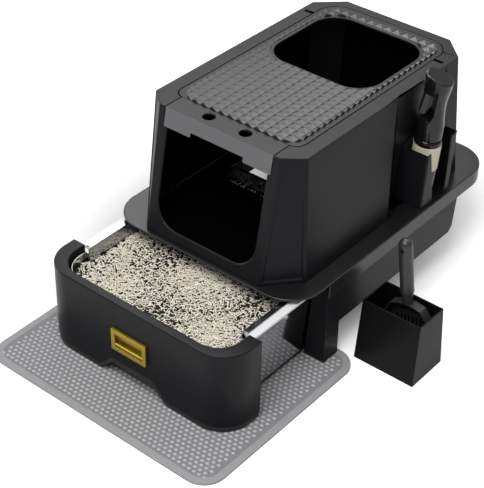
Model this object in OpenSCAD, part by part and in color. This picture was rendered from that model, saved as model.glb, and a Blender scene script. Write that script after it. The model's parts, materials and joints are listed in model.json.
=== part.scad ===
// Drawer litter box: a deck on four legs carries a hood with a top lid, and a litter drawer slides
// out from under it onto a mat. A spray bottle stands in a pocket on the hood, and a scoop in a bin.
// The origin is on the floor, below the middle of the deck's front edge. X is right, Y back, Z up.
// The drawer is drawn partly open, as it stands in use for filling.

/* [Floor mat] */
// Width of the mat
mat_w = 498; // [440:1:560]
// Length of the mat, front to back
mat_len = 401; // [360:1:440]
// How far the mat reaches in front of the deck
mat_front = 264; // [240:1:300]
// Thickness of the lower sheet
mat_base_t = 2; // [1:0.5:3]
// Thickness of the upper sheet
mat_top_t = 3; // [2:0.5:5]
// Radius of the mat's corners
mat_r = 42; // [20:1:60]
// Width of the flat border round the pattern
mat_border = 13; // [8:1:25]
// Depth of the patterned field below the border
mat_field_drop = 0.4; // [0.3:0.1:0.6]

/* [Deck] */
// Width of the deck
deck_w = 416; // [412:1:440]
// Length of the deck, front to back
deck_len = 596; // [590:1:640]
// Height of the deck's top face
deck_z = 176; // [175:1:185]
// Thickness of the deck
deck_t = 4; // [3:0.5:5]
// Radius of the deck's corners
deck_r = 68; // [50:1:80]
// Height of the rim round the sides and the back
rim_h = 30; // [22:1:36]
// Thickness of the rim
rim_t = 3; // [2:0.5:4]
// Width of the floor opening under the hood
deck_hole_w = 280; // [240:1:290]
// Front edge of the floor opening
deck_hole_y = 215; // [205:1:225]
// Length of the floor opening
deck_hole_len = 221; // [200:1:224]
// Corner radius of the floor opening
deck_hole_r = 40; // [20:1:60]
// Height of the ridge that locates the hood
ridge_h = 6; // [4:0.5:8]
// Thickness of the ridge
ridge_t = 3; // [2:0.5:4]

/* [Stand] */
// Front edge of the stand, behind the deck's overhang
stand_y = 90; // [88:1:94]
// Length of the stand, front to back
stand_len = 400; // [398:1:410]
// Width of the stand across the skirts
stand_w = 406; // [404:1:408]
// Height of the skirt's lower edge
skirt_z = 71; // [60:1:85]
// Thickness of the skirt
skirt_t = 3; // [2:0.5:4]
// How far the back skirt leans in at its foot
skirt_lean = 10; // [4:1:14]
// Size of the cut corner at the skirt's lower back edge
skirt_cut = 10; // [6:1:16]
// Thickness of the flange that carries the deck
flange_t = 4; // [3:0.5:5]
// Width of the flange along the sides
flange_w = 14; // [12:1:16]
// Depth of a front leg, front to back
leg_depth = 40; // [34:1:46]
// How far the front legs splay outwards at the foot
leg_splay = 2; // [0:0.5:4]
// Wall of the hollow legs
leg_wall = 3; // [2:0.5:4]
// Width of a rear leg
rear_leg_w = 40; // [30:1:46]
// Depth of a rear leg
rear_leg_depth = 26; // [22:1:28]
// Distance between the rear legs' middles
rear_leg_gap = 210; // [170:1:230]
// Thickness of the rubber pad under each leg
pad_t = 2; // [1:0.5:3]

/* [Hood] */
// Height of the hood above the deck
hood_h = 228.6; // [210:1:260]
// Wall of the hood
hood_wall = 3.5; // [2.5:0.5:4]
// Width of the hood at the deck
hood_w = 350; // [346:1:354]
// Width of the hood at the top
hood_top_w = 318; // [314:1:322]
// Front wall at the deck, behind the deck's front edge
hood_y = 8; // [6:1:12]
// Front wall at the top, behind the deck's front edge
hood_top_y = 50; // [46:1:52]
// Back wall at the deck
hood_back_y = 562; // [560:1:570]
// Back wall at the top
hood_top_back_y = 552; // [550:1:556]
// Width of the front wall at the deck
hood_front_w = 242; // [240:1:250]
// Width of the front wall at the top
hood_top_front_w = 250; // [248:1:254]
// Width of the entry in the front wall
entry_w = 210; // [190:1:212]
// Height of the entry's sill above the deck
sill_h = 19; // [14:1:26]
// Radius of the entry's lower corners
entry_r = 45; // [20:1:50]

/* [Lid] */
// Width of the lid
lid_w = 260; // [256:1:262]
// Front edge of the lid's wide part
lid_y = 90; // [86:1:94]
// Back edge of the lid
lid_back_y = 531; // [526:1:533]
// Width of the smooth strip and the fascia
strip_w = 224; // [220:1:228]
// Thickness of the lid
lid_t = 4; // [3:0.5:4.5]
// Running gap round the lid
lid_gap = 1.2; // [0.8:0.1:1.6]
// Width of the ledge that carries the lid
ledge_w = 8; // [6:1:10]
// Height of the fascia
fascia_h = 34.6; // [30:0.1:38]
// Width of the finger notch in the fascia
notch_w = 110; // [80:1:130]
// Height of the finger notch
notch_h = 8.5; // [6:0.5:12]
// Width of the top entry
top_hole_w = 216; // [200:1:220]
// Front edge of the top entry
top_hole_y = 295; // [285:1:305]
// Length of the top entry
top_hole_len = 202; // [190:1:206]
// Corner radius of the top entry
top_hole_r = 50; // [30:1:60]
// Diameter of the two finger holes
finger_d = 22; // [18:1:26]
// Distance between the finger holes
finger_gap = 76; // [60:1:90]
// Hinge axis, behind the deck's front edge
hinge_y = 472; // [470:1:474]
// Radius of the hinge pins
pin_r = 3.7; // [3:0.1:3.8]

/* [Drawer] */
// How far the drawer stands out of the deck
drawer_out = 166; // [160:1:170]
// Width of the drawer's front
front_w = 412; // [404:1:412]
// Height of the front's lower edge
front_z = 17; // [15:1:20]
// Height of the front's top face
front_top_z = 166; // [164:1:166]
// Thickness of the front
front_t = 17; // [15:1:20]
// Thickness of the two wings
wing_t = 26; // [24:1:28]
// Length of the wings, from the front face
wing_len = 83; // [76:1:85]
// Outer corner radius of the front
front_r = 60; // [56:1:70]
// Inner corner radius of the front
front_inner_r = 45; // [40:1:50]
// Wall of the hollow front
front_wall = 3; // [2:0.5:3.5]
// Length of the whole drawer
drawer_len = 438; // [430:1:440]
// Width between the panels' outer faces at the top
panel_top_w = 346; // [344:1:348]
// Width between the panels' outer faces at the foot
panel_foot_w = 320; // [318:1:322]
// Thickness of the side panels and the back
panel_t = 3; // [2.5:0.5:3.5]
// Width across the two top rails
rail_span = 380; // [376:1:382]
// Thickness of the top rails
rail_t = 5; // [4:0.5:5.5]
// Wall of the litter tray
tray_wall = 1.5; // [1.5:0.5:3]
// Height of the tray's floor
tray_z = 60; // [50:1:70]
// Height of the litter's surface
litter_z = 140; // [120:1:150]
// Thickness of the drawer's base
base_t = 6; // [5:0.5:7]
// Width of the arch in the front's lower edge
arch_w = 148; // [120:1:170]
// Width of the arch at its top
arch_top_w = 92; // [70:1:110]
// Height of the arch
arch_h = 27; // [18:1:32]

/* [Drawer pull] */
// Width of the pull's plate
plate_w = 76; // [60:1:100]
// Height of the pull's plate
plate_h = 42.5; // [36:0.5:46]
// Thickness of the pull's plate
plate_t = 6; // [4:0.5:7]
// Width of the plate's frame round the recess
plate_frame = 8; // [6:0.5:9]
// Height of the plate's middle
plate_z = 94; // [90:1:98]
// Depth of the recess behind the front's face
cup_depth = 4; // [3:0.5:8]
// Wall of the recess
cup_wall = 1.5; // [1:0.25:2]
// Thickness of the grip bar
grip_t = 5; // [4:0.5:6]

/* [Bottle pocket] */
// Front wall of the pocket
pocket_y = 362; // [358:1:366]
// Length of the pocket
pocket_len = 91; // [86:1:96]
// Outer face of the pocket at the deck, from the middle
pocket_out = 201.5; // [201:0.5:203]
// Height of the pocket's front wall
pocket_h = 113; // [100:1:125]
// How much higher the pocket's back wall is
pocket_rise = 11; // [6:1:16]
// Wall of the pocket
pocket_wall = 2.5; // [2:0.5:3]
// Width of the slot at the deck
slot_w = 36; // [30:1:40]
// Width of the slot at the top
slot_top_w = 63; // [56:1:66]
// Angle by which the pocket and the bottle lean outwards
lean = 4.3; // [4.3:0.1:4.6]
// Depth of the recess in the hood's side at the deck
recess_depth = 33; // [32:0.5:33]

/* [Spray bottle] */
// Radius of the bottle
bottle_r = 24.5; // [22:0.5:24.5]
// Height of the bottle's straight body
bottle_h = 118; // [110:1:122]
// Height of the shoulder
shoulder_h = 8; // [6:1:9]
// Radius of the bottle's neck
neck_r = 11; // [9:0.5:13]
// Wall of the bottle
bottle_wall = 1.5; // [1:0.25:2]
// Lower edge of the label above the bottle's foot
label_y0 = 62; // [40:1:62]
// Height of the label
label_h = 50; // [40:1:52]
// Height of the threaded collar
collar_h = 18; // [14:1:24]
// Radius of the sprayer's shroud at its foot
shroud_r = 23.5; // [22.5:0.5:23.5]
// Radius of the shroud's waist
waist_r = 19; // [18:0.5:21]
// Radius of the sprayer's head
head_r = 25; // [24:0.5:25]
// Height of the sprayer from the shroud's foot to its top
head_h = 126; // [122:1:130]
// Length of the trigger
trigger_len = 49; // [40:1:50]
// Heading of the nozzle, degrees from straight left towards the front
head_turn = 37; // [33:1:41]

/* [Scoop and bin] */
// Middle of the bin, to the right of the box
bin_x = 291.3; // [285:0.5:320]
// Middle of the bin, behind the deck's front edge
bin_y = 186; // [170:1:220]
// Height of the bin
bin_h = 121; // [110:1:135]
// Width of the bin at the foot
bin_foot_w = 121; // [118:1:130]
// Depth of the bin at the foot
bin_foot_d = 88; // [84:1:96]
// Width of the bin at the top
bin_top_w = 116; // [112:1:118]
// Depth of the bin at the top
bin_top_d = 69; // [66:1:76]
// Wall of the bin
bin_wall = 3; // [2:0.5:3.5]
// Width of the scoop's blade
blade_w = 90; // [80:1:92]
// Length of the scoop's blade
blade_len = 88; // [76:1:92]
// Depth of the scoop's blade
blade_d = 18; // [14:1:20]
// Wall of the blade
blade_wall = 2.2; // [1.8:0.1:3]
// Width of a sifting slot
sift_w = 3.8; // [3:0.1:3.9]
// Number of sifting slots
sift_count = 8; // [5:1:9]
// Radius of the scoop's handle
grip_r = 12; // [10:0.5:13]
// Length of the scoop's handle above the blade
grip_len = 124; // [100:1:140]
// Angle by which the scoop leans in its bin
scoop_lean = 8; // [6:0.5:9]

/* [Hidden] */
// Number of sides that draws a round shape
fine = 96;
// One overrun serves all cuts
over = 5;
// Gap between pieces that must stay free, and between pieces that only rest on each other
gap = 0.3;
// Thickness of the slices that a tapered shell is stretched between
slice = 0.05;
mat_t = mat_base_t + mat_top_t;
mat_y1 = mat_len - mat_front;
deck_x = deck_w / 2;
deck_under = deck_z - deck_t;
stand_x = stand_w / 2;
stand_back = stand_y + stand_len;
flange_z = deck_under - flange_t;
leg_z = mat_t + pad_t;
leg_back = stand_y + leg_depth;
rear_leg_back = stand_back - skirt_lean - skirt_cut - skirt_t;
rear_leg_y = rear_leg_back - rear_leg_depth;
// Screws of the stand: shank, head, and how far they end below the deck's top face
screw_r = 1.6;
screw_head_r = 2.4;
screw_head_t = 2.5;
screw_fit = 0.1;
screw_skin = 1;
screw_gap = 18;
front_screw_inset = 5.5;
front_screw_x = stand_x - front_screw_inset;
// Hood: its height above the floor, the cut corners of its plan, and its slopes
hood_top = deck_z + hood_h;
hood_cut = 61;
hood_top_cut = 28;
hood_back_cut_x = 47;
hood_back_cut_y = 45;
corner_share = 0.42;
side_slope = (hood_w - hood_top_w) / 2 / hood_h;
front_slope = (hood_top_y - hood_y) / hood_h;
ridge_gap = 2.5;
// Rebate that the lid lies in
ledge_t = 4;
ledge_short = 20;
ledge_end = hinge_y - ledge_short;
lid_front_r = 20;
lid_back_r = 42;
// Hinge pins of the lid, the ears that hold them, and the open slots that they turn in
pin_drop = 2.6;
pin_z = hood_top - lid_t - pin_drop;
pin_reach = 18.5;
slot_r = pin_r + gap;
pin_end_gap = 0.8;
slot_reach = pin_reach + pin_end_gap;
ear_r = 6;
ear_t = 9;
pin_fit = 0.05;
saddle_wall = 3;
// Screws that hold the hood, and their bosses
hood_screw_inset = 15;
hood_screw_first = 112;
hood_screw_pitch = 190;
hood_screw_x = hood_w / 2 - hood_screw_inset;
hood_screw_ys = [for (i = [0 : 2]) hood_y + hood_screw_first + i * hood_screw_pitch];
boss_r = 5;
boss_h = 14;
boss_foot = ridge_h + 1;
// Recess in the hood's right side, and the pocket in it
recess_margin = 17;
recess_ramp = 42;
ramp_slope = recess_ramp / recess_depth;
pocket_flare = 2;
flare_slope = tan(pocket_flare);
recess_x = hood_w / 2 - recess_depth;
lean_slope = tan(lean);
recess_top = deck_z + recess_depth / (lean_slope + side_slope);
pocket_in = recess_x + gap;
pocket_back = pocket_y + pocket_len;
slot_y = 39;
slot_top_y = 8;
pocket_screw_h = 95;
pocket_screw_inset = 10;
pocket_head_r = 3.5;
pocket_head_t = 2;
// Drawer: its places from front to back
front_y = -drawer_out;
wing_y = front_y + wing_len;
drawer_back_y = front_y + drawer_len;
plinth_inset = 1.5;
plinth_gap = 1;
plinth_z = mat_t + plinth_gap;
plinth_h = front_z - plinth_z;
toe_depth = 30;
toe_lip_t = 8;
pad_foot = mat_t + gap;
base_gap = 3;
base_z = mat_t + base_gap;
base_top = base_z + base_t;
glide_r = 10;
glide_x = 130;
glide_first = 41;
glide_pitch = 200;
glide_ys = [for (i = [0 : 1]) front_y + glide_first + i * glide_pitch];
tray_lip_t = 2.5;
rail_top = front_top_z - tray_lip_t;
rail_z = rail_top - rail_t;
tray_fit = 2;
tray_gap = 0.4;
tray_lip_inset = 12.5;
tray_drop = 12;
tray_lip_x = rail_span / 2 - tray_lip_inset;
tray_end_gap = 3;
tray_front_x = front_w / 2 - wing_t - tray_end_gap;
tray_front_y = front_y + front_t + tray_end_gap;
tray_front_end = wing_y - tray_end_gap;
tray_back_y = drawer_back_y - panel_t - tray_end_gap;
litter_gap = 0.5;
rib_t = 12;
rib_w = 280;
rib_first = 106;
rib_pitch = 260;
rib_ys = [for (i = [0 : 1]) front_y + rib_first + i * rib_pitch];
panel_slope = (panel_top_w - panel_foot_w) / 2 / (rail_z - base_top);
leg_clear = 3;
leg_notch_drop = 3.5;
leg_notch_z = rail_z - leg_notch_drop;
leg_notch_x = rail_span / 2 + leg_clear;
// Pull: the recess, its bar, and its screws
window_w = plate_w - 2 * plate_frame;
window_h = plate_h - 2 * plate_frame;
grip_rise = 3;
grip_z = plate_z - window_h / 2 + grip_rise;
pull_screw_inset = 3.5;
pull_screw_x = plate_w / 2 - pull_screw_inset;
pull_screw_r = 1.2;
pull_head_r = 2.5;
pull_head_t = 2;
// Spray bottle: its foot, and heights along its axis
bottle_back = 38;
bottle_y = pocket_y + bottle_back;
bottle_z = deck_z + pocket_wall + bottle_r * sin(lean) + gap;
label_t = 0.4;
bottle_side = (bottle_r + label_t) / cos(lean) + gap;
bottle_x = pocket_in + pocket_wall + lean_slope * (bottle_z - deck_z) + bottle_side;
foot_cut = 3;
neck_s = bottle_h + shoulder_h;
neck_len = 12;
collar_s = neck_s + 1;
collar_top = collar_s + collar_h;
collar_wall = 4;
// Sprayer: its shroud, in shares of its height, each with a share of the way from the waist to the end
shroud_drop = 2;
shroud_s = neck_s - shroud_drop;
shroud_wall = 2.5;
head_top = shroud_s + head_h;
top_drop = 12;
foot_shares = [[0, 1], [0.13, 1], [0.22, 0.72], [0.35, 0.25], [0.48, 0]];
head_shares = [[0.58, 0.08], [0.69, 0.36], [0.79, 0.72], [0.89, 0.95], [0.95, 1], [1, 0.95]];
mouth_foot = 38;
mouth_h = 52;
mouth_lip = 6;
mouth_s = shroud_s + mouth_foot;
mouth_top = mouth_s + mouth_h;
column_front = 2;
nozzle_x = 21.5;
nozzle_r = 5;
nozzle_len = 6;
nozzle_drop = 19;
nozzle_s = head_top - nozzle_drop;
trigger_x = 14;
trigger_rise = 5;
trigger_s = mouth_top + trigger_rise;
trigger_neck = 1.5;
trigger_w = 14;
trigger_depth = 12;
trigger_lean = 5.5;
trigger_tip = 4;
slot_fit = 1;
slot_rise = 10;
trigger_pin_len = 30;
trigger_pin_r = 1.5;
trigger_fit = 0.1;
tube_r = 2.5;
tube_foot = 6;
// Scoop: where its handle meets its blade
shoulder = 22;
tip_share = 0.8;
flank_share = 1.3;
neck_share = 0.8;
tip_half = blade_w / 2 * tip_share;
scoop_x = bin_x;
scoop_back = 14;
scoop_y = bin_y + scoop_back;
scoop_z = bin_wall + gap + (blade_len + shoulder) * cos(scoop_lean) + tip_half * sin(scoop_lean);
hang_r = 4;
hang_drop = 8;

// A slice of a plan, lifted to a height
module slab(z, t) {
  translate([0, 0, z]) linear_extrude(t) children();
}

// An outline drawn in X and Z, drawn out along Y
module along_y(y, len) {
  translate([0, y + len, 0]) rotate([90, 0, 0]) linear_extrude(len) children();
}

// An outline drawn in Y and Z, drawn out along X
module along_x(x, len) {
  translate([x, 0, 0]) rotate([90, 0, 90]) linear_extrude(len) children();
}

// The same piece on the right and on the left
module both_sides() {
  children();
  mirror([1, 0, 0]) children();
}

// A plan symmetric about the middle, with its own front and back corner radii
module plan(half, y0, y1, front_radius, back_radius) {
  len = y1 - y0;
  translate([-half + front_radius, y0]) square([2 * (half - front_radius), len - back_radius]);
  translate([-half + back_radius, y0 + front_radius])
    square([2 * (half - back_radius), len - front_radius]);
  translate([-half, y0 + front_radius]) square([2 * half, len - front_radius - back_radius]);
  for (side = [-1, 1]) {
    translate([side * (half - front_radius), y0 + front_radius]) circle(r = front_radius, $fn = fine);
    translate([side * (half - back_radius), y1 - back_radius]) circle(r = back_radius, $fn = fine);
  }
}

// A plan with round front corners and a straight back edge
module bow(half, y0, y1, radius) {
  translate([-half + radius, y0]) square([2 * (half - radius), y1 - y0]);
  translate([-half, y0 + radius]) square([2 * half, y1 - y0 - radius]);
  intersection() {
    for (side = [-1, 1]) translate([side * (half - radius), y0 + radius]) circle(r = radius, $fn = fine);
    translate([-half, y0]) square([2 * half, y1 - y0]);
  }
}

// A rectangle centred on a point
module window(x, z, w, h) {
  translate([x - w / 2, z - h / 2]) square([w, h]);
}

// The mat is two bonded sheets, and its pattern lies in a shallow field inside a flat border
module mat_base() color("#8d8d8f")
  slab(0, mat_base_t) plan(mat_w / 2, -mat_front, mat_y1, mat_r, mat_r);

module mat_top() color("#a9a9ab") difference() {
  slab(mat_base_t, mat_top_t) plan(mat_w / 2, -mat_front, mat_y1, mat_r, mat_r);
  slab(mat_t - mat_field_drop, over) {
    field_r = mat_r - mat_border;
    plan(mat_w / 2 - mat_border, mat_border - mat_front, mat_y1 - mat_border, field_r, field_r);
  }
}

module deck_plan(inset) {
  plan(deck_x - inset, inset, deck_len - inset, deck_r - inset, deck_r - inset);
}

// A screw that comes up from a head below, and the hole that it takes
module screw_up(x, y, seat, tip, shank, head_r, head_t) {
  translate([x, y, seat - head_t]) cylinder(r = head_r, h = head_t, $fn = fine);
  translate([x, y, seat]) cylinder(r = shank, h = tip - seat, $fn = fine);
}

module hole_up(x, y, from, tip, shank) {
  translate([x, y, from]) cylinder(r = shank + screw_fit, h = tip - from, $fn = fine);
}

// Where the screws of the stand stand: pairs through the front legs and through the rear legs
function stand_screws() = [
  for (side = [-1, 1], step = [-1, 1])
    [side * front_screw_x, (stand_y + leg_back + step * screw_gap) / 2],
  for (side = [-1, 1], step = [-1, 1])
    [(side * rear_leg_gap + step * screw_gap) / 2, rear_leg_y + rear_leg_depth / 2]
];
function screw_seat(place) = place[1] < rear_leg_y ? leg_notch_z - leg_wall : flange_z - leg_wall;

module deck() color("#39393b") difference() {
  union() {
    slab(deck_under, deck_t) deck_plan(0);
    slab(deck_z - rim_h, rim_h - deck_t / 2) difference() {
      deck_plan(0);
      deck_plan(rim_t);
      translate([-deck_w, -over]) square([2 * deck_w, stand_y + over]);
    }
    slab(deck_z - deck_t / 2, ridge_h + deck_t / 2) difference() {
      hood_plan(0, hood_wall + ridge_gap);
      hood_plan(0, hood_wall + ridge_gap + ridge_t);
      translate([recess_x - 3 * hood_wall, pocket_y - 2 * recess_margin - recess_ramp])
        square([hood_w, pocket_len + 4 * recess_margin + recess_ramp]);
      for (side = [-1, 1], y = hood_screw_ys) translate([side * hood_screw_x, y])
        circle(r = boss_r + ridge_gap, $fn = fine);
    }
  }
  slab(deck_under - over, deck_t + ridge_h + 2 * over)
    plan(deck_hole_w / 2, deck_hole_y, deck_hole_y + deck_hole_len, deck_hole_r, deck_hole_r);
  for (side = [-1, 1], y = hood_screw_ys)
    hole_up(side * hood_screw_x, y, deck_under - over, deck_z + over, screw_r);
  for (place = stand_screws())
    hole_up(place[0], place[1], deck_under - over, deck_z - screw_skin, screw_r);
}

// The skirt closes the sides and the back behind the front legs, under a flange that carries the deck
module skirt_frame() color("#2f2f31") difference() {
  union() {
    both_sides() along_x(stand_x - skirt_t, skirt_t) polygon([
      [leg_back + gap, skirt_z],
      [stand_back - skirt_lean - skirt_cut, skirt_z],
      [stand_back - skirt_lean, skirt_z + skirt_cut],
      [stand_back, deck_under],
      [leg_back + gap, deck_under]
    ]);
    slab(flange_z, flange_t) {
      both_sides() translate([stand_x - flange_w, stand_y]) square([flange_w, stand_len]);
      translate([-stand_x, rear_leg_y]) square([stand_w, stand_back - rear_leg_y]);
    }
    along_x(-stand_x, stand_w) polygon([
      [stand_back - skirt_lean - skirt_cut, skirt_z],
      [stand_back - skirt_lean, skirt_z + skirt_cut],
      [stand_back, deck_under],
      [stand_back - skirt_t, deck_under],
      [stand_back - skirt_lean - skirt_t, skirt_z + skirt_cut + skirt_t / 2],
      [stand_back - skirt_lean - skirt_cut - skirt_t / 2, skirt_z + skirt_t]
    ]);
  }
  for (place = stand_screws())
    hole_up(place[0], place[1], flange_z - over, deck_under + over, screw_r);
}

// Inner face of a front leg at a height: it follows the drawer's side panel at a clear distance
function leg_in(z) = panel_foot_w / 2 + leg_clear + panel_slope * (z - base_top);
function leg_out(z) = stand_x + leg_splay * (flange_z - z) / (flange_z - leg_z);

// A front leg is hollow from below, and is cut back at its top inner side so that the drawer's rail passes
module front_leg() difference() {
  along_y(stand_y, leg_depth) polygon([
    [leg_in(leg_z), leg_z], [leg_out(leg_z), leg_z], [leg_out(flange_z), flange_z],
    [leg_notch_x, flange_z], [leg_notch_x, leg_notch_z], [leg_in(leg_notch_z), leg_notch_z]
  ]);
  along_y(stand_y + leg_wall, leg_depth - 2 * leg_wall) polygon([
    [leg_in(leg_z - over) + leg_wall, leg_z - over], [leg_out(leg_z - over) - leg_wall, leg_z - over],
    [leg_out(leg_notch_z - leg_wall) - leg_wall, leg_notch_z - leg_wall],
    [leg_in(leg_notch_z - leg_wall) + leg_wall, leg_notch_z - leg_wall]
  ]);
  for (place = stand_screws())
    hole_up(place[0], place[1], leg_notch_z - leg_wall - over, flange_z + over, screw_r);
}

module front_leg_right() color("#2c2c2e") front_leg();
module front_leg_left() color("#2c2c2e") mirror([1, 0, 0]) front_leg();

module rear_leg(side) difference() {
  translate([side * rear_leg_gap / 2 - rear_leg_w / 2, rear_leg_y, leg_z])
    cube([rear_leg_w, rear_leg_depth, flange_z - leg_z]);
  translate([side * rear_leg_gap / 2 - rear_leg_w / 2 + leg_wall, rear_leg_y + leg_wall, leg_z - over])
    cube([rear_leg_w - 2 * leg_wall, rear_leg_depth - 2 * leg_wall, flange_z - leg_z - leg_wall + over]);
  for (place = stand_screws())
    hole_up(place[0], place[1], flange_z - leg_wall - over, flange_z + over, screw_r);
}

module rear_leg_left() color("#2c2c2e") rear_leg(-1);
module rear_leg_right() color("#2c2c2e") rear_leg(1);

// The front pads lie on the mat, and the rear pads are as much thicker as the mat is
module leg_pads() color("#1c1c1c") {
  both_sides() translate([leg_in(leg_z), stand_y, mat_t])
    cube([leg_out(leg_z) - leg_in(leg_z), leg_depth, pad_t]);
  both_sides() translate([rear_leg_gap / 2 - rear_leg_w / 2, rear_leg_y, 0])
    cube([rear_leg_w, rear_leg_depth, leg_z]);
}

module leg_screws() color("silver")
  for (place = stand_screws())
    screw_up(place[0], place[1], screw_seat(place), deck_z - 2 * screw_skin,
      screw_r, screw_head_r, screw_head_t);

// The hood's plan at the deck, level 0, or at the top, level 1, moved in by a wall
module hood_plan(level, inset) {
  half = (level == 0 ? hood_w : hood_top_w) / 2 - inset;
  front_half = (level == 0 ? hood_front_w : hood_top_front_w) / 2 - inset * corner_share;
  front = (level == 0 ? hood_y : hood_top_y) + inset;
  front_side = front - inset + (level == 0 ? hood_cut : hood_top_cut) + inset * corner_share;
  back = (level == 0 ? hood_back_y : hood_top_back_y) - inset;
  back_half = half + inset - hood_back_cut_x - inset * corner_share;
  back_side = back + inset - hood_back_cut_y - inset * corner_share;
  polygon([
    [-half, front_side], [-front_half, front], [front_half, front], [half, front_side],
    [half, back_side], [back_half, back], [-back_half, back], [-half, back_side]
  ]);
}

module hood_form(foot, top, inset) hull() {
  slab(foot, slice) hood_plan(0, inset);
  slab(top - slice, slice) hood_plan(1, inset);
}

// Front end of the recess at a distance from the middle: a ramp, grown by a wall
function ramp_y(x, grow) =
  pocket_y - recess_margin - ramp_slope * (x - recess_x) - grow * sqrt(1 + ramp_slope * ramp_slope);

// The leaning recess behind the bottle pocket, grown by a wall
module hood_recess(grow) intersection() {
  along_y(0, hood_back_y) polygon([
    [recess_x - grow - over * lean_slope, deck_z - over],
    [recess_x - grow + (recess_top - deck_z + over) * lean_slope, recess_top + over],
    [hood_w, recess_top + over],
    [hood_w, deck_z - over]
  ]);
  slab(deck_z - 2 * over, recess_top - deck_z + 4 * over) polygon([
    [0, ramp_y(0, grow)],
    [hood_w / 2 + over, ramp_y(hood_w / 2 + over, grow)],
    [hood_w / 2 + over, pocket_back + recess_margin + grow],
    [0, pocket_back + recess_margin + grow]
  ]);
}

module lid_plan(grow) {
  plan(lid_w / 2 + grow, lid_y - grow, lid_back_y + grow, lid_front_r + grow, lid_back_r + grow);
  translate([-strip_w / 2 - grow, hood_top_y - grow])
    square([strip_w + 2 * grow, lid_y - hood_top_y + lid_front_r]);
}

// The lid's opening with its ledge, which stops short of the hinge so that the back of the lid can dip
module lid_rebate() {
  slab(hood_top - lid_t - gap, over + lid_t) lid_plan(lid_gap);
  slab(hood_top - lid_t - ledge_t - over, ledge_t + 2 * over) {
    plan(lid_w / 2 - ledge_w, lid_y + ledge_w, lid_back_y - lid_back_r, lid_front_r, lid_back_r);
    translate([-strip_w / 2 + ledge_w, hood_top_y - lid_gap])
      square([strip_w - 2 * ledge_w, lid_y - hood_top_y + lid_back_r]);
    intersection() {
      lid_plan(lid_gap);
      translate([-lid_w, ledge_end]) square([2 * lid_w, lid_back_y]);
    }
  }
}

module hinge_slot() {
  translate([lid_w / 2 - over, hinge_y - slot_r, pin_z])
    cube([slot_reach + over, 2 * slot_r, hood_top]);
  translate([lid_w / 2 - over, hinge_y, pin_z]) rotate([0, 90, 0])
    cylinder(r = slot_r, h = slot_reach + over, $fn = fine);
}

module hinge_saddle()
  translate([lid_w / 2 + lid_gap, hinge_y - slot_r - 2 * saddle_wall, pin_z - slot_r - saddle_wall])
    cube([slot_reach + saddle_wall, 2 * slot_r + 4 * saddle_wall, slot_r + saddle_wall]);

module hood_boss(x, y) {
  translate([x, y, deck_z]) cylinder(r = boss_r, h = boss_h, $fn = fine);
  translate([x, y - ridge_t / 2, deck_z + boss_foot])
    cube([hood_w / 2 - hood_wall / 2 - side_slope * boss_h - x, ridge_t, boss_h - boss_foot]);
}

module hood_shell() color("#323234") difference() {
  union() {
    difference() {
      hood_form(deck_z, hood_top, 0);
      hood_recess(0);
      difference() {
        hood_form(deck_z - over, hood_top - lid_t - ledge_t, hood_wall);
        hood_recess(hood_wall);
      }
    }
    both_sides() {
      hinge_saddle();
      for (y = hood_screw_ys) hood_boss(hood_screw_x, y);
    }
  }
  along_y(hood_y - over, hood_top_y - hood_y + 2 * over)
    plan(entry_w / 2, deck_z + sill_h, hood_top - fascia_h + over, entry_r, over);
  along_y(hood_y - over, hood_top_y - hood_y + 2 * over)
    translate([-strip_w / 2 - lid_gap, hood_top - fascia_h - lid_gap])
      square([strip_w + 2 * lid_gap, hood_h]);
  lid_rebate();
  both_sides() {
    hinge_slot();
    for (y = hood_screw_ys)
      hole_up(hood_screw_x, y, deck_z - over, deck_z + boss_h - 2 * screw_skin, screw_r);
  }
  for (y = pocket_screw_ys()) pocket_screw_place(y) translate([0, 0, -2 * hood_wall - pocket_wall])
    cylinder(r = screw_r + screw_fit, h = 3 * hood_wall, $fn = fine);
}

module hood_screws() color("silver")
  for (side = [-1, 1], y = hood_screw_ys)
    screw_up(side * hood_screw_x, y, deck_under, deck_z + boss_h - 4 * screw_skin,
      screw_r, screw_head_r, screw_head_t);

// The lid's front strip carries the fascia that closes the entry's top, and has two finger holes
module lid_front() color("#5c5c5f") difference() {
  union() {
    slab(hood_top - lid_t, lid_t) translate([-strip_w / 2, hood_top_y])
      square([strip_w, lid_y - hood_top_y]);
    along_x(-strip_w / 2, strip_w) polygon([
      [hood_top_y, hood_top],
      [hood_top_y + lid_t, hood_top],
      [hood_top_y + lid_t - fascia_h * front_slope, hood_top - fascia_h],
      [hood_top_y - fascia_h * front_slope, hood_top - fascia_h]
    ]);
  }
  for (side = [-1, 1])
    translate([side * finger_gap / 2, (hood_top_y + lid_y + lid_t) / 2, hood_top - lid_t - over])
      cylinder(d = finger_d, h = lid_t + 2 * over, $fn = fine);
  along_y(hood_y, hood_top_y) window(0, hood_top - fascia_h, notch_w, 2 * notch_h);
}

// The lid's panel lies flush in the hood's top, joined to the strip's back edge, with two ears at its hinge
module lid_panel() color("#47474a") difference() {
  union() {
    slab(hood_top - lid_t, lid_t) plan(lid_w / 2, lid_y, lid_back_y, lid_front_r, lid_back_r);
    both_sides() translate([lid_w / 2 - ear_t - gap, hinge_y - ear_r, pin_z - ear_r])
      cube([ear_t, 2 * ear_r, ear_r + pin_drop + lid_t / 2]);
  }
  slab(hood_top - lid_t - over, lid_t + 2 * over)
    plan(top_hole_w / 2, top_hole_y, top_hole_y + top_hole_len, top_hole_r, top_hole_r);
  both_sides() translate([lid_w / 2 - ear_t - over, hinge_y, pin_z]) rotate([0, 90, 0])
    cylinder(r = pin_r + pin_fit, h = ear_t + 2 * over, $fn = fine);
}

module lid_hinge_pins() color("silver") both_sides()
  translate([lid_w / 2 - ear_t - gap, hinge_y, pin_z]) rotate([0, 90, 0])
    cylinder(r = pin_r, h = ear_t + gap + pin_reach, $fn = fine);

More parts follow.
